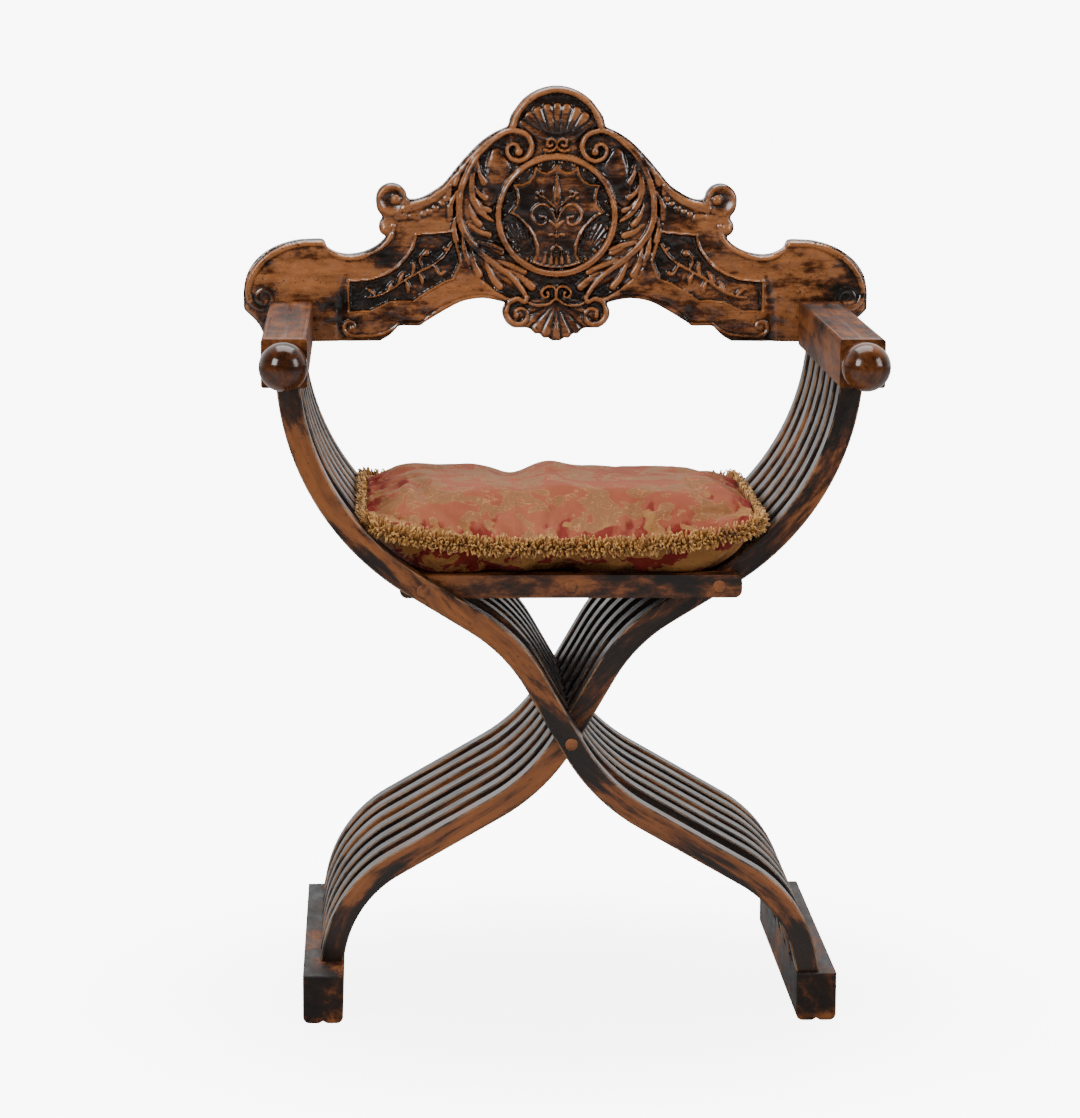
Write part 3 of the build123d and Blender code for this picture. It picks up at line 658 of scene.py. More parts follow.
# %% The small scrolls and the lower shell
small_scrolls = [
    [(0, 219.5, 1.4), (3, 224.6, 1.6), (8, 225.8, 1.7), (11.5, 222.2, 1.7), (9.6, 217.8, 1.6),
     (6, 219.4, 1.8)],
    [(0, 219.5, 1.4), (3, 214.6, 1.6), (9, 212.4, 1.7), (14, 213.8, 1.5)],
    [(1, 46, 1.6), (1.2, 57, 1.7), (5, 61.4, 1.8), (12, 60.6, 1.9), (17, 55.2, 1.9), (14, 49.4, 1.8),
     (9, 51, 1.6), (10.4, 55.2, 2.1)],
    [(1.5, 48, 1.5), (10, 41.6, 2), (24, 40.4, 2.2), (33, 44, 1.8)]]
lower_volute = [
    (33.6, 50, 2.8), (36, 44, 2.8), (44, 47.6, 3.2), (54, 42.6, 3.6), (57, 32, 3.8), (52, 22.4, 3.8),
    (43, 18.8, 3.6), (35, 23, 3.2), (33, 31, 2.8), (38.4, 37, 2.6), (45.6, 34.6, 2.4), (45.4, 28.6, 3.2)]
sink([(0, 0), (34, 12), (56, 18), (62, 32), (58, 46), (0, 48)], -4.2, 0.8)
shell_reach, shell_turn = np.hypot(U, V - 46), np.degrees(np.arctan2(U, 46 - V))
shell_rib = rib_profile(np.mod(shell_turn / 17.6 + 0.5, 1.0)) - 1
shell_level = -3.4 + 2.4 * np.clip(shell_reach / 34, 0, 1) + 2.6 * shell_rib * np.clip(shell_reach / 16, 0, 1)
in_shell = inside([(0, -1), (26, -1), (38, 12), (47, 22), (44, 36), (26, 45), (0, 47)])
relief[:] = np.where(in_shell & (np.abs(shell_turn) < 75), shell_level, relief)
for stroke in small_scrolls:
    raise_stroke(stroke, -1.0, 2.6)
raise_stroke(lower_volute, 0.0, 3.6, shadow=1.4)

# %% Volutes of the wings, the leafy bands below the edge, and the sprigs in the panels
VOLUTE = (184.0, 158.0)
from_eye = np.hypot(U - VOLUTE[0], V - VOLUTE[1])
dish = from_eye < 17.4
relief[dish] = (-1.0 - 4.4 * np.clip(1 - (from_eye / 14.5) ** 2, 0, 1))[dish]
raise_stroke([(179.8, 158.6, 6.4)], 0.0, 5.0, shadow=0.8)
raise_stroke([(190.4, 126, 6.8)], -1.0, 3.4)
band = [(169, 148, 5), (158, 151.5, 5.6), (146, 155.5, 5.4), (133, 163.6, 4.8), (122, 174, 4)]
lobes = [[(178, 139, 4.6), (169, 139.6, 4.8)], [(163, 140, 4.4), (155, 139, 4.6)], [(149, 142.5, 4.4)],
         [(142.4, 145.6, 4.2)], [(135.6, 149.4, 4.4)], [(129, 154, 4.2)], [(123.6, 160, 4.6)]]
for stroke in lobes:
    raise_stroke(stroke, -1.2, 3.2, shadow=1.0)
raise_stroke(band, -0.5, 2.6, shadow=1.0)
sprig = [
    [(213, 48.5, 1.1), (200, 51, 1.5), (189, 56, 1.6), (178, 63, 1.6), (166, 71, 1.7), (152, 78.5, 1.8),
     (138, 86, 1.8), (126, 96, 1.7), (117.5, 109, 1.5)],
    [(189, 55, 0.9), (186.5, 61, 2.7), (184, 66.5, 0.9)], [(178, 64, 0.9), (174, 72, 2.8), (171, 77.5, 0.9)],
    [(163, 73, 0.9), (160, 81.4, 2.9), (161, 89, 0.9)], [(170, 69, 0.9), (166.5, 61.6, 2.7), (166, 55, 0.9)],
    [(155, 77, 0.9), (151, 70.6, 2.7), (150, 64.4, 0.9)],
    [(203, 50.5, 0.9), (207, 55.4, 2.4), (212, 58.6, 0.9)],
    [(150, 80, 1.2), (153.4, 91, 1.4), (149, 98, 1.6)], [(145.4, 98.6, 4.2)],
    [(138, 86, 1.4), (134, 79, 1.6), (130, 74.8, 1.8), (126.4, 77, 2.2)], [(124.4, 103, 2.4)]]
for stroke in sprig:
    raise_stroke(stroke, -3.2, 2.8, shadow=0.5)
print("wings", round(float(relief.min()), 2))

# %% Worn edges, uneven tool work, and how hollow each point is, for polish and painted shade in the hollows
hand = np.random.default_rng(7)
relief -= 2.2 * swell(edge_stroke) ** 2
wobble = softened(softened(hand.normal(size=U.shape), 3.0), 3.0)
punched = softened(hand.normal(size=U.shape), 0.6)
relief += 0.22 * wobble / wobble.std() + 0.16 * punched / punched.std() * np.clip((-4.5 - relief) / 1.5, 0, 1)
relief = np.minimum(softened(relief, 0.6), 0.0)
# How hollow each point is. In the shader it keeps polish and painted shade in the recesses, and lightens
# ridges with wear and a painted highlight. The shield, the crest, the lower shell, the medallion's ground and
# the outer ends are made darker as a whole, and the wings lighter.
hollow_polish_and_shade = 0.50 * (softened(relief, 3.0) - relief) / 1.3 + 0.55 * (softened(relief, 9.0) - relief) / 3.5
hollow_polish_and_shade += 0.30 * np.clip(-relief / 7.0, 0, 1) + 0.30 * softened(on_shield.astype(float), 2.0)
hollow_polish_and_shade += 0.35 * softened((in_crest | in_shell | ((from_middle < 62) & ~on_shield)).astype(float), 3.0)
hollow_polish_and_shade -= 0.35 * softened((((U > 205) & (V > 66)) | ((U > 246) & (U < 308))).astype(float), 8.0)
hollow_polish_and_shade += 0.25 * softened((U > 314).astype(float), 6.0)
hollow_polish_and_shade = np.clip(hollow_polish_and_shade, -0.8, 1.2)


def read_paper(sheet, u, v):
    """Value of a sheet at any point of the board, left or right."""
    column = np.clip(np.abs(u) / STEP, 0, sheet.shape[1] - 1.001)
    row = np.clip((v - PAPER_FOOT) / STEP, 0, sheet.shape[0] - 1.001)
    c, r = column.astype(int), row.astype(int)
    fc, fr = column - c, row - r
    return ((sheet[r, c] * (1 - fc) + sheet[r, c + 1] * fc) * (1 - fr)
            + (sheet[r + 1, c] * (1 - fc) + sheet[r + 1, c + 1] * fc) * fr)


# %% The board itself: a grid is cut to the outline, moved by the paper and given its thickness
GRID, BOARD_HALF_WIDTH, BOARD_HEIGHT, BOARD_THICKNESS = 1.2, 349.6, 284.6, 24.0
board_low, board_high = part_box("back_board")
BOARD_FOOT = board_low.z / MM
BOARD_FRONT, BOARD_REAR = board_high.y / MM - BOARD_THICKNESS, board_high.y / MM


def plain_start(add, **settings):
    """Deselects everything, adds a primitive and returns it."""
    bpy.ops.object.select_all(action="DESELECT")
    add(**settings)
    return bpy.context.object


def coordinates(mesh):
    flat = np.empty(len(mesh.vertices) * 3)
    mesh.vertices.foreach_get("co", flat)
    return flat.reshape(-1, 3)


def set_coordinates(mesh, points):
    mesh.vertices.foreach_set("co", points.ravel())
    mesh.update()


def open_edges(mesh):
    """Pairs of vertex numbers of the edges that have one face."""
    loops = np.empty(len(mesh.loops), int)
    mesh.loops.foreach_get("edge_index", loops)
    ends = np.empty(len(mesh.edges) * 2, int)
    mesh.edges.foreach_get("vertices", ends)
    return ends.reshape(-1, 2)[np.bincount(loops, minlength=len(mesh.edges)) == 1]


wide, tall = int(2 * BOARD_HALF_WIDTH / GRID), int(BOARD_HEIGHT / GRID)
board = plain_start(bpy.ops.mesh.primitive_grid_add, x_subdivisions=wide, y_subdivisions=tall, size=2)
board.name = "carved_back_board"
flat = coordinates(board.data)
u, v = flat[:, 0] * wide * GRID / 2, (flat[:, 1] + 1) * tall * GRID / 2
set_coordinates(board.data, np.column_stack([u, v, 0 * u]))
middles = np.empty(len(board.data.polygons) * 3)
board.data.polygons.foreach_get("center", middles)
middles = middles.reshape(-1, 3)
kept = inside(whole_outline, middles[:, 0], middles[:, 1])
bpy.ops.object.mode_set(mode="EDIT")
bpy.ops.mesh.select_mode(type="FACE")
bpy.ops.object.mode_set(mode="OBJECT")
board.data.polygons.foreach_set("select", ~kept)
bpy.ops.object.mode_set(mode="EDIT")
bpy.ops.mesh.delete(type="FACE")
bpy.ops.object.mode_set(mode="OBJECT")
print("grid faces kept", len(board.data.polygons))

# %% Its rim is drawn to the outline, and the carving moves its face
rim_line = curve_through([(u, v, 0) for u, v in whole_outline + whole_outline[:1]], 1.0)[1:, :2]
flat = coordinates(board.data)
rim = np.unique(open_edges(board.data))
nearest = np.empty((len(rim), 2))
ends = np.roll(rim_line, -1, axis=0)
along = ends - rim_line
length = np.maximum((along ** 2).sum(1), 1e-9)
for place, number in enumerate(rim):
    point = flat[number, :2]
    share = np.clip(((point - rim_line) * along).sum(1) / length, 0, 1)
    foot = rim_line + share[:, None] * along
    nearest[place] = foot[((foot - point) ** 2).sum(1).argmin()]
flat[rim, :2] = nearest
u, v = flat[:, 0], flat[:, 1]
depth = -read_paper(relief, u, v)
set_coordinates(board.data, np.column_stack([u, BOARD_FRONT + depth, BOARD_FOOT + v]) * MM)
hollows = board.data.attributes.new("hollow_polish_and_shade", "FLOAT", "POINT")
hollows.data.foreach_set("value", read_paper(hollow_polish_and_shade, u, v).astype(np.float32))
print("rim points", len(rim), "deepest", round(float(depth.max()), 2))

# %% Thickness: the rim is drawn back and closed with a flat back
bpy.ops.object.mode_set(mode="EDIT")
bpy.ops.mesh.select_mode(type="EDGE")
bpy.ops.mesh.select_all(action="DESELECT")
bpy.ops.mesh.select_non_manifold()
bpy.ops.mesh.extrude_region_move(TRANSFORM_OT_translate={"value": (0, 0.010, 0)})
bpy.ops.object.mode_set(mode="OBJECT")
points = coordinates(board.data)
rear_rim = np.unique(open_edges(board.data))
points[rear_rim, 1] = BOARD_REAR * MM
set_coordinates(board.data, points)
bpy.ops.object.mode_set(mode="EDIT")
bpy.ops.mesh.edge_face_add()
bpy.ops.mesh.select_all(action="SELECT")
bpy.ops.mesh.normals_make_consistent(inside=False)
bpy.ops.object.mode_set(mode="OBJECT")
bpy.ops.object.shade_smooth_by_angle(angle=math.radians(50))
board.data.materials.append(carved_walnut)
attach(board, "back_board")
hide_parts("back_board")
print("board faces", len(board.data.polygons), "open edges", len(open_edges(board.data)))

# %% [markdown]
# ## The arms
# The tops of both arms carry two columns of fine grooves, cut across with a small veining
# tool, so that a hand doesn't slip. One long prism is the tool; a row of copies of it, cut
# from the arm in one boolean, leaves the same regular grooves. Each arm here is a copy of
# the solid one, which it then stands in for.

# %% Grooves across the arm tops
GROOVE_PITCH, GROOVE_DEPTH = 0.0034, 0.0015
GROOVE_HALF, TOOL_RISE = 0.42 * GROOVE_PITCH, 0.0003
COLUMN_WIDTH, MIDDLE_BAND = 0.0165, 0.0050
END_MARGIN = 0.016


def select_only(piece):
    bpy.ops.object.select_all(action="DESELECT")
    piece.select_set(True)
    bpy.context.view_layer.objects.active = piece


def copy_of(name, new_name):
    """A separate mesh with the same shape as a node, at the origin, with its loose triangles merged."""
    source = nodes[name]
    mesh = source.data.copy()
    mesh.transform(source.matrix_world)
    made = placed(new_name, mesh)
    select_only(made)
    bpy.ops.object.mode_set(mode="EDIT")
    bpy.ops.mesh.select_all(action="SELECT")
    bpy.ops.mesh.remove_doubles(threshold=0.00001)
    bpy.ops.object.mode_set(mode="OBJECT")
    return made


def grooving_tool(low, high):
    """Rows of three-sided prisms that dip into the arm's top."""
    count = int((high.y - low.y - 2 * END_MARGIN) / GROOVE_PITCH)
    first = (low.y + high.y) / 2 - (count - 1) / 2 * GROOVE_PITCH
    points, faces = [], []
    for column in (-1, 1):
        middle = (low.x + high.x) / 2 + column * (COLUMN_WIDTH + MIDDLE_BAND) / 2
        for row in range(count):
            y, start = first + row * GROOVE_PITCH, len(points)
            for x in (middle - COLUMN_WIDTH / 2, middle + COLUMN_WIDTH / 2):
                points += [(x, y - GROOVE_HALF, high.z + TOOL_RISE), (x, y, high.z - GROOVE_DEPTH),
                           (x, y + GROOVE_HALF, high.z + TOOL_RISE)]
            faces += [[start + corner for corner in face]
                      for face in ((0, 1, 2), (3, 5, 4), (0, 3, 4, 1), (1, 4, 5, 2), (2, 5, 3, 0))]
    mesh = bpy.data.meshes.new("grooving_tool")
    mesh.from_pydata(points, [], faces)
    tool = placed("grooving_tool", mesh)
    select_only(tool)
    bpy.ops.object.mode_set(mode="EDIT")
    bpy.ops.mesh.select_all(action="SELECT")
    bpy.ops.mesh.normals_make_consistent(inside=False)
    bpy.ops.object.mode_set(mode="OBJECT")
    return tool


for name, body in (("left_arm", "left_frame"), ("right_arm", "right_frame")):
    low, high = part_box(name)
    grooved = copy_of(name, f"grooved_{name}")
    tool = grooving_tool(low, high)
    select_only(grooved)
    cut = grooved.modifiers.new("grooves", "BOOLEAN")
    cut.operation, cut.solver, cut.object = "DIFFERENCE", "EXACT", tool
    bpy.ops.object.modifier_apply(modifier=cut.name)
    bpy.data.objects.remove(tool)
    grooved.data.materials.clear()
    grooved.data.materials.append(arm_walnut)
    bpy.ops.object.shade_smooth_by_angle(angle=math.radians(20))
    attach(grooved, body)
    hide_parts(name)
    print(grooved.name, "faces", len(grooved.data.polygons), "open edges", len(open_edges(grooved.data)))

# %% [markdown]
# ## The tongue behind the board
# The board hangs on the left arm by a dovetail tongue, which shows when the board is
# lifted off. It could be modelled again, but the plain board already has it in the right
# place. So everything behind the tongue is cut away from a copy of the plain board, and
# the rest is joined to the carved one.

# %% The tongue, cut from a copy of the plain board
OVERLAP, TONGUE_HALF, TONGUE_TALL = 0.0006, 0.0125, 0.0375
kept_box = {(0, 1, 0): BOARD_FRONT * MM + OVERLAP, (1, 0, 0): -ARM_MIDDLE * MM + TONGUE_HALF,
            (-1, 0, 0): ARM_MIDDLE * MM + TONGUE_HALF, (0, 0, 1): BOARD_FOOT * MM + TONGUE_TALL}
tongue = copy_of("back_board", "tongue")
select_only(tongue)
bpy.ops.object.mode_set(mode="EDIT")
for outward_side, reach in kept_box.items():
    bpy.ops.mesh.select_all(action="SELECT")
    bpy.ops.mesh.bisect(plane_co=Vector(outward_side) * reach, plane_no=outward_side, use_fill=True,
                        clear_outer=True)
bpy.ops.object.mode_set(mode="OBJECT")
tongue_points = coordinates(tongue.data)
print("tongue from", tongue_points.min(0).round(4), "to", tongue_points.max(0).round(4))

# %% Joined to the carved board
tongue.data.materials.clear()
tongue.data.materials.append(carved_walnut)
bpy.ops.object.shade_flat()
board.select_set(True)
bpy.context.view_layer.objects.active = board
bpy.ops.object.join()
print("board with its tongue", len(board.data.polygons), "open edges", len(open_edges(board.data)))


# %% [markdown]
# ## The cushion
# A loose cushion is two pieces of damask sewn together all round and stuffed. Both covers
# bulge from the seam, and the lower one is flat where it rests on the seat. The slats
# hold up its two ends. So a cube is shaped to a plain pillow first: each ring of its
# faces becomes a rounded rectangle, and the bulge dies out at the seam.

# %% A plain pillow from a cube
cushion_low, cushion_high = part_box("cushion")
SEAT_TOP = cushion_low.z
RIGHT_END = cushion_high.x - 0.005
HALF_WIDTH, HALF_DEPTH = (RIGHT_END - cushion_low.x) / 2, (cushion_high.y - cushion_low.y) / 2
MIDDLE_X, MIDDLE_Y = (RIGHT_END + cushion_low.x) / 2, (cushion_high.y + cushion_low.y) / 2
CORNER, SEAM_HALF, ABOVE_SEAT = 0.034, 0.002, 0.001
SEAM_RISE, LEFT_LIFT, RIGHT_LIFT = 0.033, 0.024, 0.021
CROWN, BELLY, BULGE_POWER, BULGE_ROOT = 0.033, 0.050, 5, 0.80


def smooth_step(value):
    t = np.clip(value, 0, 1)
    return t * t * (3 - 2 * t)


def seam_height(x):
    """Height of the seam over a place: the slats lift its ends."""
    lift = np.where(x > MIDDLE_X, RIGHT_LIFT, LEFT_LIFT)
    return SEAT_TOP + SEAM_RISE + lift * np.minimum(np.abs(x - MIDDLE_X) / HALF_WIDTH, 1.05) ** 3


def rounded_rectangle(square, half_width, half_depth, corner):
    """Takes points of a square to a rounded rectangle, ring by ring."""
    ring = np.abs(square).max(axis=1)
    edge = square / np.maximum(ring, 1e-6)[:, None] * (half_width, half_depth)
    straight = np.array([half_width - corner, half_depth - corner])
    inner = np.clip(edge, -straight, straight)
    out = edge - inner
    on_edge = inner + corner * out / np.maximum(np.linalg.norm(out, axis=1), 1e-6)[:, None]
    return on_edge * ring[:, None]


pillow = plain_start(bpy.ops.mesh.primitive_cube_add, size=2)
pillow.name = "cushion_cover"
bpy.ops.object.mode_set(mode="EDIT")
bpy.ops.mesh.subdivide(number_cuts=47)
bpy.ops.object.mode_set(mode="OBJECT")
points = coordinates(pillow.data)
square, level = points[:, :2], points[:, 2]
plan = rounded_rectangle(square, HALF_WIDTH, HALF_DEPTH, CORNER) + (MIDDLE_X, MIDDLE_Y)
fullness = ((1 - np.abs(square) ** BULGE_POWER).clip(0) ** BULGE_ROOT).prod(axis=1)
bulge = np.where(level > 0.999, CROWN, np.where(level < -0.999, -BELLY, 0.0)) * fullness
height = np.maximum(seam_height(plan[:, 0]) + (bulge + level * SEAM_HALF), SEAT_TOP + ABOVE_SEAT)
set_coordinates(pillow.data, np.column_stack([plan, height]))
print("pillow points", len(points), "top", round(float(height.max()) * 1000, 1))

# %% Where the seam runs
SEAM_STATIONS = 360
turn = np.linspace(0, 2 * math.pi, SEAM_STATIONS, endpoint=False)
around = np.column_stack([np.cos(turn), np.sin(turn)])
around /= np.abs(around).max(axis=1)[:, None]
seam_plan = rounded_rectangle(around, HALF_WIDTH, HALF_DEPTH, CORNER) + (MIDDLE_X, MIDDLE_Y)
seam_line = np.column_stack([seam_plan, seam_height(seam_plan[:, 0])])
seam_tree = kdtree.KDTree(SEAM_STATIONS)
for number, point in enumerate(seam_line):
    seam_tree.insert(point, number)
seam_tree.balance()


def from_seam(points):
    """Distance to the seam, and the station of the seam that is nearest."""
    found = [seam_tree.find(point) for point in points]
    return np.array([hit[2] for hit in found]), np.array([hit[1] for hit in found])


print("seam", round(float(np.linalg.norm(np.diff(seam_line, axis=0), axis=1).sum()), 3), "m")

# %% [markdown]
# ## Between the slats
# The cushion is as wide as the chair, so it leans on the slats at both ends. What would
# pass into them is pressed flat on their inner side, which is measured height by height.

# %% The inner sides of the slats
SLAT_HEIGHTS = np.linspace(SEAT_TOP - 0.005, SEAT_TOP + 0.135, 29)
SLAT_GAP, PRESSED_LAYER, PRESSED_OVER = 0.0015, 0.0012, 0.004    # the pressed layer lies inside the gap


def inner_side(name, direction):
    """Where the inner side of a slat lies at each height, seen from the middle of the seat."""
    slat = nodes[name]
    into = slat.matrix_world.inverted()
    low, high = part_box(name)
    found = []
    for height in SLAT_HEIGHTS:
        eye = into @ Vector((0, (low.y + high.y) / 2, height))
        hit, place, _, _ = slat.ray_cast(eye, into.to_3x3() @ Vector((direction, 0, 0)))
        assert hit, name
        found.append((slat.matrix_world @ place).x)
    return np.array(found)


left_inner, right_inner = inner_side("left_slat_4", -1), inner_side("right_slat_4", 1)


def pressed(past):
    """How far a point goes back that lies so far past the inner side."""
    return past - PRESSED_LAYER * (1 - np.exp(-past / PRESSED_OVER))


def beside_slats(points):
    """Takes points that would lie in a slat to its inner side."""
    left = np.interp(points[:, 2], SLAT_HEIGHTS, left_inner) + SLAT_GAP
    right = np.interp(points[:, 2], SLAT_HEIGHTS, right_inner) - SLAT_GAP
    x = points[:, 0]
    shift = pressed(np.maximum(left - x, 0)) - pressed(np.maximum(x - right, 0))
    farthest = round(float(np.abs(shift).max()) / MM, 1)
    print("pressed by the slats:", np.count_nonzero(shift), "points, at most", farthest, "mm")
    return np.column_stack([x + shift, points[:, 1:]])


print("inner sides at the seat", round(left_inner[0], 4), round(right_inner[0], 4))

# %% Cloth under pressure
VOXEL, FARTHEST_MOVE = 0.005, 0.013
PRESSURE, SLACK, FRAMES = 4.0, 0.05, 20


def swell_cloth(cover):
    """Blows the cover up like a stuffed pillow, held at its seam, but moves no point too far."""
    start = coordinates(cover.data)
    held = np.flatnonzero(from_seam(start)[0] < 1.2 * VOXEL)
    cover.vertex_groups.new(name="seam").add(held.tolist(), 1.0, "REPLACE")
    cloth = cover.modifiers.new("cloth", "CLOTH")
    fabric = cloth.settings
    fabric.quality, fabric.mass = 6, 0.25
    fabric.use_pressure, fabric.uniform_pressure_force = True, PRESSURE
    fabric.tension_stiffness = fabric.compression_stiffness = 14
    fabric.shear_stiffness, fabric.bending_stiffness = 4, 0.3
    fabric.shrink_min = -SLACK
    fabric.vertex_group_mass = "seam"
    fabric.effector_weights.gravity = 0.0
    for number in range(1, FRAMES + 1):
        bpy.context.scene.frame_set(number)
    bpy.context.view_layer.objects.active = cover
    bpy.ops.object.modifier_apply(modifier=cloth.name)
    bpy.context.scene.frame_set(1)
    move = coordinates(cover.data) - start
    length = np.linalg.norm(move, axis=1)
    move *= np.minimum(1, FARTHEST_MOVE / np.maximum(length, 1e-9))[:, None]
    set_coordinates(cover.data, start + move)
    print("cloth moved", (length.mean() / MM).round(2), "mm, at most", (length.max() / MM).round(2))


bpy.context.view_layer.objects.active = pillow
pillow.data.remesh_voxel_size = VOXEL
bpy.ops.object.voxel_remesh()
swell_cloth(pillow)
finer = pillow.modifiers.new("finer", "SUBSURF")
finer.levels = 1
bpy.ops.object.modifier_apply(modifier=finer.name)
print("cover faces", len(pillow.data.polygons))

# %% Folds that use has left in the cover
# Each fold: two ends in plan, metres; half its width, metres; its height, metres
FOLDS = [
    ((-0.050, 0.165), (-0.062, 0.020), 0.020, -0.0085), ((-0.062, 0.020), (-0.040, -0.090), 0.016, -0.003),
    ((-0.010, 0.160), (-0.016, 0.010), 0.022, 0.0065), ((-0.016, 0.010), (-0.004, -0.110), 0.014, 0.0035),
    ((-0.152, -0.128), (-0.160, -0.020), 0.007, -0.0055),
    ((-0.166, -0.120), (-0.174, -0.030), 0.007, 0.0030),
    ((-0.138, -0.125), (-0.145, -0.030), 0.008, 0.0035),
    ((-0.030, -0.150), (-0.010, -0.090), 0.006, -0.0045),
    ((-0.010, -0.155), (0.012, -0.085), 0.007, 0.0035), ((0.060, -0.152), (0.072, -0.095), 0.007, -0.0045),
    ((0.076, -0.152), (0.094, -0.100), 0.007, 0.0030), ((-0.085, -0.150), (-0.064, -0.100), 0.007, -0.0035),
    ((0.150, -0.120), (0.128, -0.060), 0.008, -0.0040), ((0.165, -0.070), (0.120, -0.030), 0.009, 0.0030),
    ((-0.190, 0.060), (-0.120, 0.075), 0.010, -0.0035), ((0.175, 0.050), (0.110, 0.060), 0.011, -0.0030),
    ((0.040, 0.130), (0.100, 0.080), 0.014, -0.0025), ((-0.110, 0.120), (-0.080, 0.030), 0.016, 0.0025),
    ((0.110, 0.180), (0.115, -0.010), 0.045, -0.0045), ((-0.125, 0.175), (-0.120, 0.010), 0.040, -0.0025)]
WORN_FOLD = 0.010
PUCKER_COUNT, PUCKER_PLACE, PUCKER_WIDTH, PUCKER_HEIGHT = 62, 0.012, 0.014, 0.0016
HIGHEST_FOLD = 0.010


def along_fold(points, start, end):
    """Distance of points from a fold's line, and the share of the way along it."""
    start, end = np.array(start), np.array(end)
    run = end - start
    share = ((points - start) @ run / (run @ run)).clip(0, 1)
    return np.linalg.norm(points - start - share[:, None] * run, axis=1), share


points = coordinates(pillow.data)
upper = smooth_step((points[:, 2] - seam_height(points[:, 0])) / 0.010)
lift, worn = np.zeros(len(points)), np.zeros(len(points))
for start, end, half_width, tall in FOLDS:
    away, share = along_fold(points[:, :2], start, end)
    fade_out = smooth_step(share / 0.25) * smooth_step((1 - share) / 0.25) * 0.75 + 0.25
    fold = np.exp(-(away / half_width) ** 2) * fade_out
    lift += tall * fold
    if half_width < WORN_FOLD:
        worn = np.maximum(worn, fold)
away, station = from_seam(points)
hand = np.random.default_rng(12)
pucker_phase = np.cumsum(hand.uniform(0.4, 1.6, SEAM_STATIONS))[station]
pucker = np.sin(pucker_phase * 2 * math.pi * PUCKER_COUNT / SEAM_STATIONS)
pucker *= np.exp(-((away - PUCKER_PLACE) / PUCKER_WIDTH) ** 2) * PUCKER_HEIGHT
normals = np.array([vertex.normal for vertex in pillow.data.vertices])
points[:, 2] += lift * upper
points += normals * pucker[:, None]
points[:, 2] = np.clip(points[:, 2], SEAT_TOP + ABOVE_SEAT, cushion_high.z + HIGHEST_FOLD)
points = beside_slats(points)
set_coordinates(pillow.data, points)
bpy.ops.object.shade_smooth()
print("cover from", (points.min(0) / MM).round(), "to", (points.max(0) / MM).round(), "mm")

# %% [markdown]
# ## The damask
# Silk damask shows a faded rose ground with olive and gold leaves that have thin pale
# outlines. Light has bleached the top, and the red is still deep in the folds by the
# seam and below it. So the cover carries how far each point is above the seam, and the
# shader fades with it. Two warped noises draw the leaves and their tendrils.

# %% Height above the seam, and the damask itself
FADE_REACH, WORN_SHARE = 0.055, 0.65
above = np.sign(points[:, 2] - seam_height(points[:, 0])) * away / FADE_REACH
fade = pillow.data.attributes.new("fade", "FLOAT", "POINT")
fade.data.foreach_set("value", np.clip(above - WORN_SHARE * worn, -1, 1).astype(np.float32))

ROSE, FADED_ROSE = (0.225, 0.050, 0.023), (0.270, 0.078, 0.034)
OLIVE, PALE_GOLD = (0.185, 0.078, 0.020), (0.42, 0.23, 0.080)
DEEP_RED, DARK_GOLD = (0.150, 0.011, 0.005), (0.26, 0.110, 0.026)
GOLD_THREAD, WEAVE_SHADOW = (0.33, 0.19, 0.07), (0.10, 0.03, 0.02)


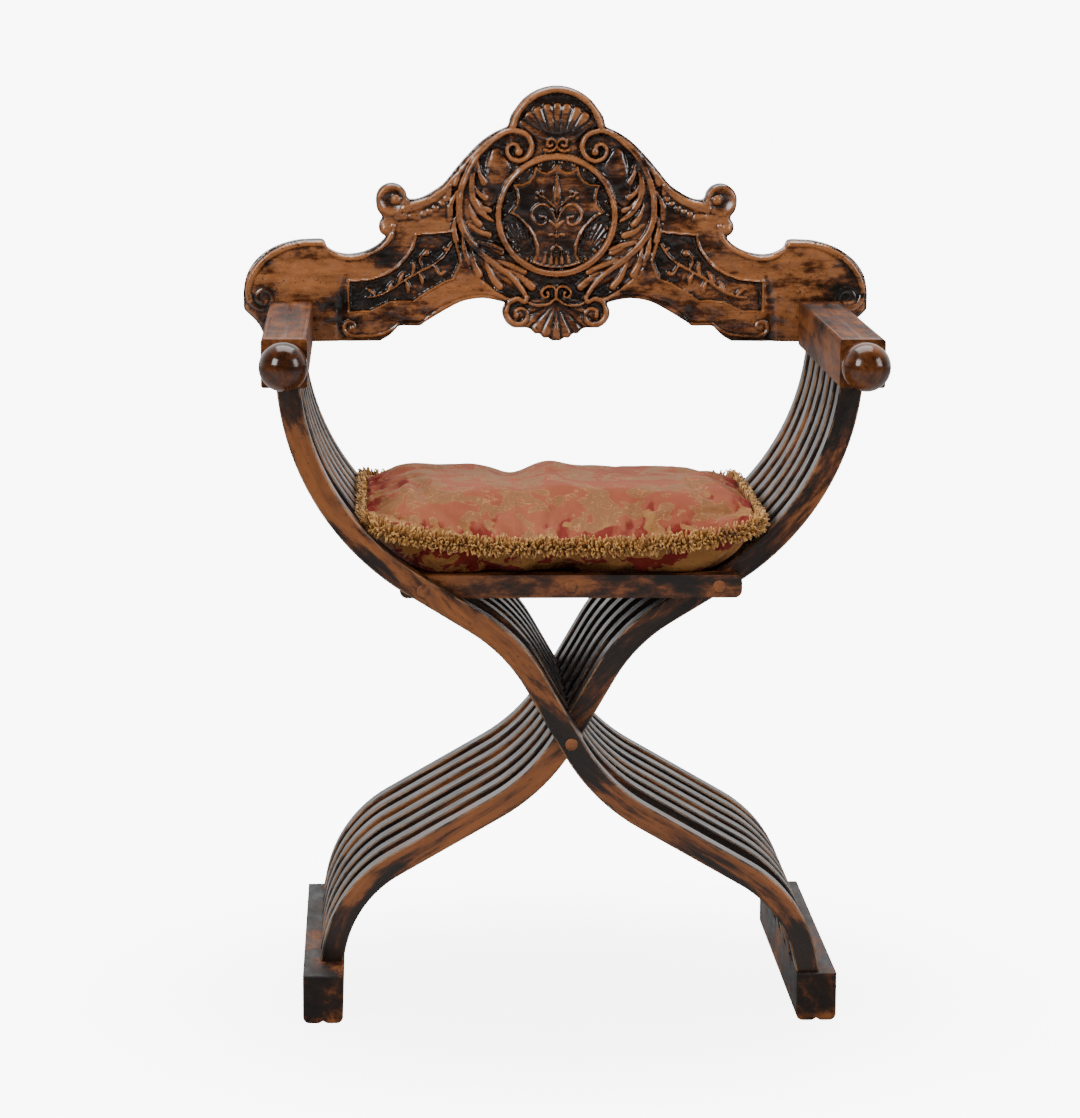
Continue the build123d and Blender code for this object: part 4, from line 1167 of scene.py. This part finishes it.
def damask(name):
    """Silk damask whose top side is faded as the attribute says."""
    paint, tree, body = new_paint(name)
    place = object_axes(tree)[0]
    bleached = shader(tree, "Attribute", attribute_name="fade").outputs["Fac"]
    warp = shader(tree, "TexNoise", {"Vector": place, "Scale": 34.0, "Detail": 2.0})
    shift = shader(tree, "VectorMath", {0: warp.outputs["Color"], 1: (0.5, 0.5, 0.5)}, operation="SUBTRACT")
    shift = shader(tree, "VectorMath", {0: shift.outputs[0], "Scale": 0.055}, operation="SCALE").outputs[0]
    bent = shader(tree, "VectorMath", {0: place, 1: shift}, operation="ADD").outputs[0]
    leaves = noise(tree, stretched(tree, bent, (1.0, 0.75, 1.0)), 36.0, detail=3.0, roughness=0.5)
    tendrils = noise(tree, bent, 110.0, detail=1.2, roughness=0.4)
    leaf = ramp(tree, leaves, [(0.508, 0.0), (0.530, 1.0)])
    outline_thread = ramp(tree, leaves, [(0.500, 0.0), (0.507, 1.0), (0.513, 1.0), (0.520, 0.0)])
    tendril = ramp(tree, tendrils, [(0.482, 0.0), (0.492, 1.0), (0.502, 1.0), (0.512, 0.0)])
    thread = math_node(tree, "MAXIMUM", outline_thread, math_node(tree, "MULTIPLY", tendril, leaf))

    clouds = noise(tree, place, 11.0, detail=4.0)
    ground = blend_colour(tree, ramp(tree, clouds, [(0.35, 0.0), (0.65, 1.0)]), ROSE, FADED_ROSE)
    top = blend_colour(tree, math_node(tree, "MULTIPLY", leaf, 0.78), ground, OLIVE)
    top = blend_colour(tree, math_node(tree, "MULTIPLY", thread, 0.58), top, PALE_GOLD)
    deep = blend_colour(tree, leaf, DEEP_RED, DARK_GOLD)
    deep = blend_colour(tree, math_node(tree, "MULTIPLY", thread, 0.6), deep, GOLD_THREAD)
    streaks = noise(tree, stretched(tree, place, (1.0, 0.35, 0.35)), 42.0, detail=5.0, roughness=0.6)
    ragged = math_node(tree, "MULTIPLY", math_node(tree, "SUBTRACT", streaks, 0.5), 2.0)
    ragged = math_node(tree, "ADD", bleached, ragged)
    colour = blend_colour(tree, ramp(tree, ragged, [(0.20, 0.0), (0.42, 1.0)]), deep, top)

    threads = []
    for scale, way in ((210.0, "X"), (260.0, "Y")):
        waves = shader(tree, "TexWave", {"Vector": place, "Scale": scale, "Distortion": 0.6, "Detail": 1.0},
                       wave_type="BANDS", bands_direction=way)
        threads.append(waves.outputs["Fac"])
    weave = math_node(tree, "ADD", *threads)
    between = math_node(tree, "MULTIPLY", math_node(tree, "SUBTRACT", 2.0, weave), 0.10)
    colour = blend_colour(tree, between, colour, WEAVE_SHADOW)
    crumple = noise(tree, place, 60.0, detail=5.0)
    height = weighted_sum(tree, (weave, 0.12), (leaf, 0.35), (crumple, 1.4))
    dull = spread(tree, leaf, (0, 1), (0.88, 0.68))
    finish_surface(tree, body, colour, dull, height, strength=0.5, distance=0.0014)
    body.inputs["Sheen Weight"].default_value = 0.03
    body.inputs["Sheen Roughness"].default_value = 0.45
    body.inputs["Specular IOR Level"].default_value = 0.16
    return paint


pillow.data.materials.clear()
pillow.data.materials.append(damask("faded rose damask"))
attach(pillow, "cushion")
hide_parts("cushion")
print("damask on", len(pillow.data.polygons), "faces")

# %% [markdown]
# ## The fringe
# The seam is hidden under a thick looped fringe of golden silk. One loop of cord is
# modelled, from a small ring pulled long. A helper then sets copies side by side along
# the seam, each turned and bent a little differently, because nobody lays three thousand
# loops by hand. They fan out from the seam, so that they cover it from above and below.

# %% One loop of cord
LOOP_LENGTH, LOOP_WIDTH, CORD, RING_CORD = 0.0135, 0.0036, 0.00100, 0.01
loop = plain_start(bpy.ops.mesh.primitive_torus_add, major_segments=9, minor_segments=3,
                   major_radius=1.0, minor_radius=RING_CORD)
loop_shape = coordinates(loop.data)
turn = np.arctan2(loop_shape[:, 1], loop_shape[:, 0])
around = loop_shape - np.column_stack([np.cos(turn), np.sin(turn), 0 * turn])
middle = np.column_stack([(1 + np.cos(turn)) * LOOP_LENGTH / 2,
                          np.sin(turn) * LOOP_WIDTH / 2 * (0.55 + 0.45 * np.cos(turn)), 0 * turn])
loop_shape = middle + around / RING_CORD * CORD
loop_faces = np.array([list(face.vertices) for face in loop.data.polygons])
bpy.data.objects.remove(loop)
print("loop faces", len(loop_faces))

# %% Loops all along the seam
LOOP_PITCH, LOOP_ROOT = 0.0031, 0.002
FAN = (-75, -48, -22, 4, 30, 56, 80)
DROOP, DROOP_REACH = 30.0, 0.012


def unit(rows):
    return rows / np.linalg.norm(rows, axis=1)[:, None]


hand = np.random.default_rng(21)
closed = np.vstack([seam_line, seam_line[:1]])
lengths = np.concatenate([[0], np.cumsum(np.linalg.norm(np.diff(closed, axis=0), axis=1))])
places = np.arange(0, lengths[-1], LOOP_PITCH)
stations = np.column_stack([np.interp(places, lengths, closed[:, axis]) for axis in range(3)])
tangents = unit(np.roll(stations, -2, axis=0) - np.roll(stations, 2, axis=0))
outward = unit(np.cross(tangents, [0, 0, 1.0]))
upward = np.cross(outward, tangents)
count, cloud = len(stations), []
for fan_angle in FAN:
    angle = np.radians(fan_angle + hand.normal(0, 9, count))
    reach = hand.uniform(0.78, 1.12, count)[:, None, None]
    ahead = outward * np.cos(angle)[:, None] + upward * np.sin(angle)[:, None]
    ahead = unit(ahead + tangents * hand.normal(0, 0.22, count)[:, None])
    twist = hand.uniform(0, math.pi, count)[:, None]
    normal = unit(np.cross(ahead, tangents))
    sideways = np.cross(normal, ahead)
    wide = sideways * np.cos(twist) + normal * np.sin(twist)
    thick = np.cross(ahead, wide)
    start = stations + tangents * hand.uniform(-0.5, 0.5, count)[:, None] * LOOP_PITCH - ahead * LOOP_ROOT
    cloud.append(start[:, None, :] + reach * loop_shape[None, :, :1] * ahead[:, None, :]
                 + loop_shape[None, :, 1:2] * wide[:, None, :] + loop_shape[None, :, 2:] * thick[:, None, :])
loops = np.concatenate(cloud)
from_root = np.linalg.norm(loops[:, :, :2] - loops[:, :1, :2], axis=2)
loops[:, :, 2] -= DROOP * np.clip(from_root, 0, DROOP_REACH) ** 2
loops[:, :, 2] = np.maximum(loops[:, :, 2], SEAT_TOP + ABOVE_SEAT)
fringe_points = beside_slats(loops.reshape(-1, 3))
fringe_faces = (loop_faces[None] + (np.arange(len(loops)) * len(loop_shape))[:, None, None]).reshape(-1, 4)
fringe_mesh = bpy.data.meshes.new("looped_fringe")
fringe_mesh.from_pydata(fringe_points.tolist(), [], fringe_faces.tolist())
shade = fringe_mesh.attributes.new("shade", "FLOAT", "POINT")
shade.data.foreach_set("value", np.repeat(hand.uniform(0, 1, len(loops)), len(loop_shape)).astype(np.float32))
fringe = placed("looped_fringe", fringe_mesh)
select_only(fringe)
bpy.ops.object.shade_smooth()
print("loops", len(loops), "faces", len(fringe_faces))

# %% Golden silk
STRAW, OCHRE, BROWN_GOLD = (0.66, 0.37, 0.10), (0.42, 0.19, 0.036), (0.16, 0.058, 0.009)
silk, tree, silk_body = new_paint("golden silk cord")
place = object_axes(tree)[0]
own = shader(tree, "Attribute", attribute_name="shade").outputs["Fac"]
tone = weighted_sum(tree, (own, 0.55), (noise(tree, place, 22.0, detail=3.0), 0.5))
colour = ramp(tree, tone, [(0.18, BROWN_GOLD), (0.48, OCHRE), (0.85, STRAW)])
strands = noise(tree, place, 900.0, detail=2.0)
soft = spread(tree, strands, (0, 1), (0.42, 0.62))
finish_surface(tree, silk_body, colour, soft, strands, strength=0.5, distance=0.0003)
silk_body.inputs["Sheen Weight"].default_value = 0.10
fringe.data.materials.append(silk)
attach(fringe, "cushion")
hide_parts("cushion_fringe")

# %% [markdown]
# ## The cushion and its fringe
# A sitter takes the cushion off before the chair is folded. Here the cushion and its
# fringe ride with the cushion, and each of them gets a mesh of its own.

# %% The cushion and its fringe get meshes of their own
for piece in (pillow, fringe):
    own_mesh(piece)
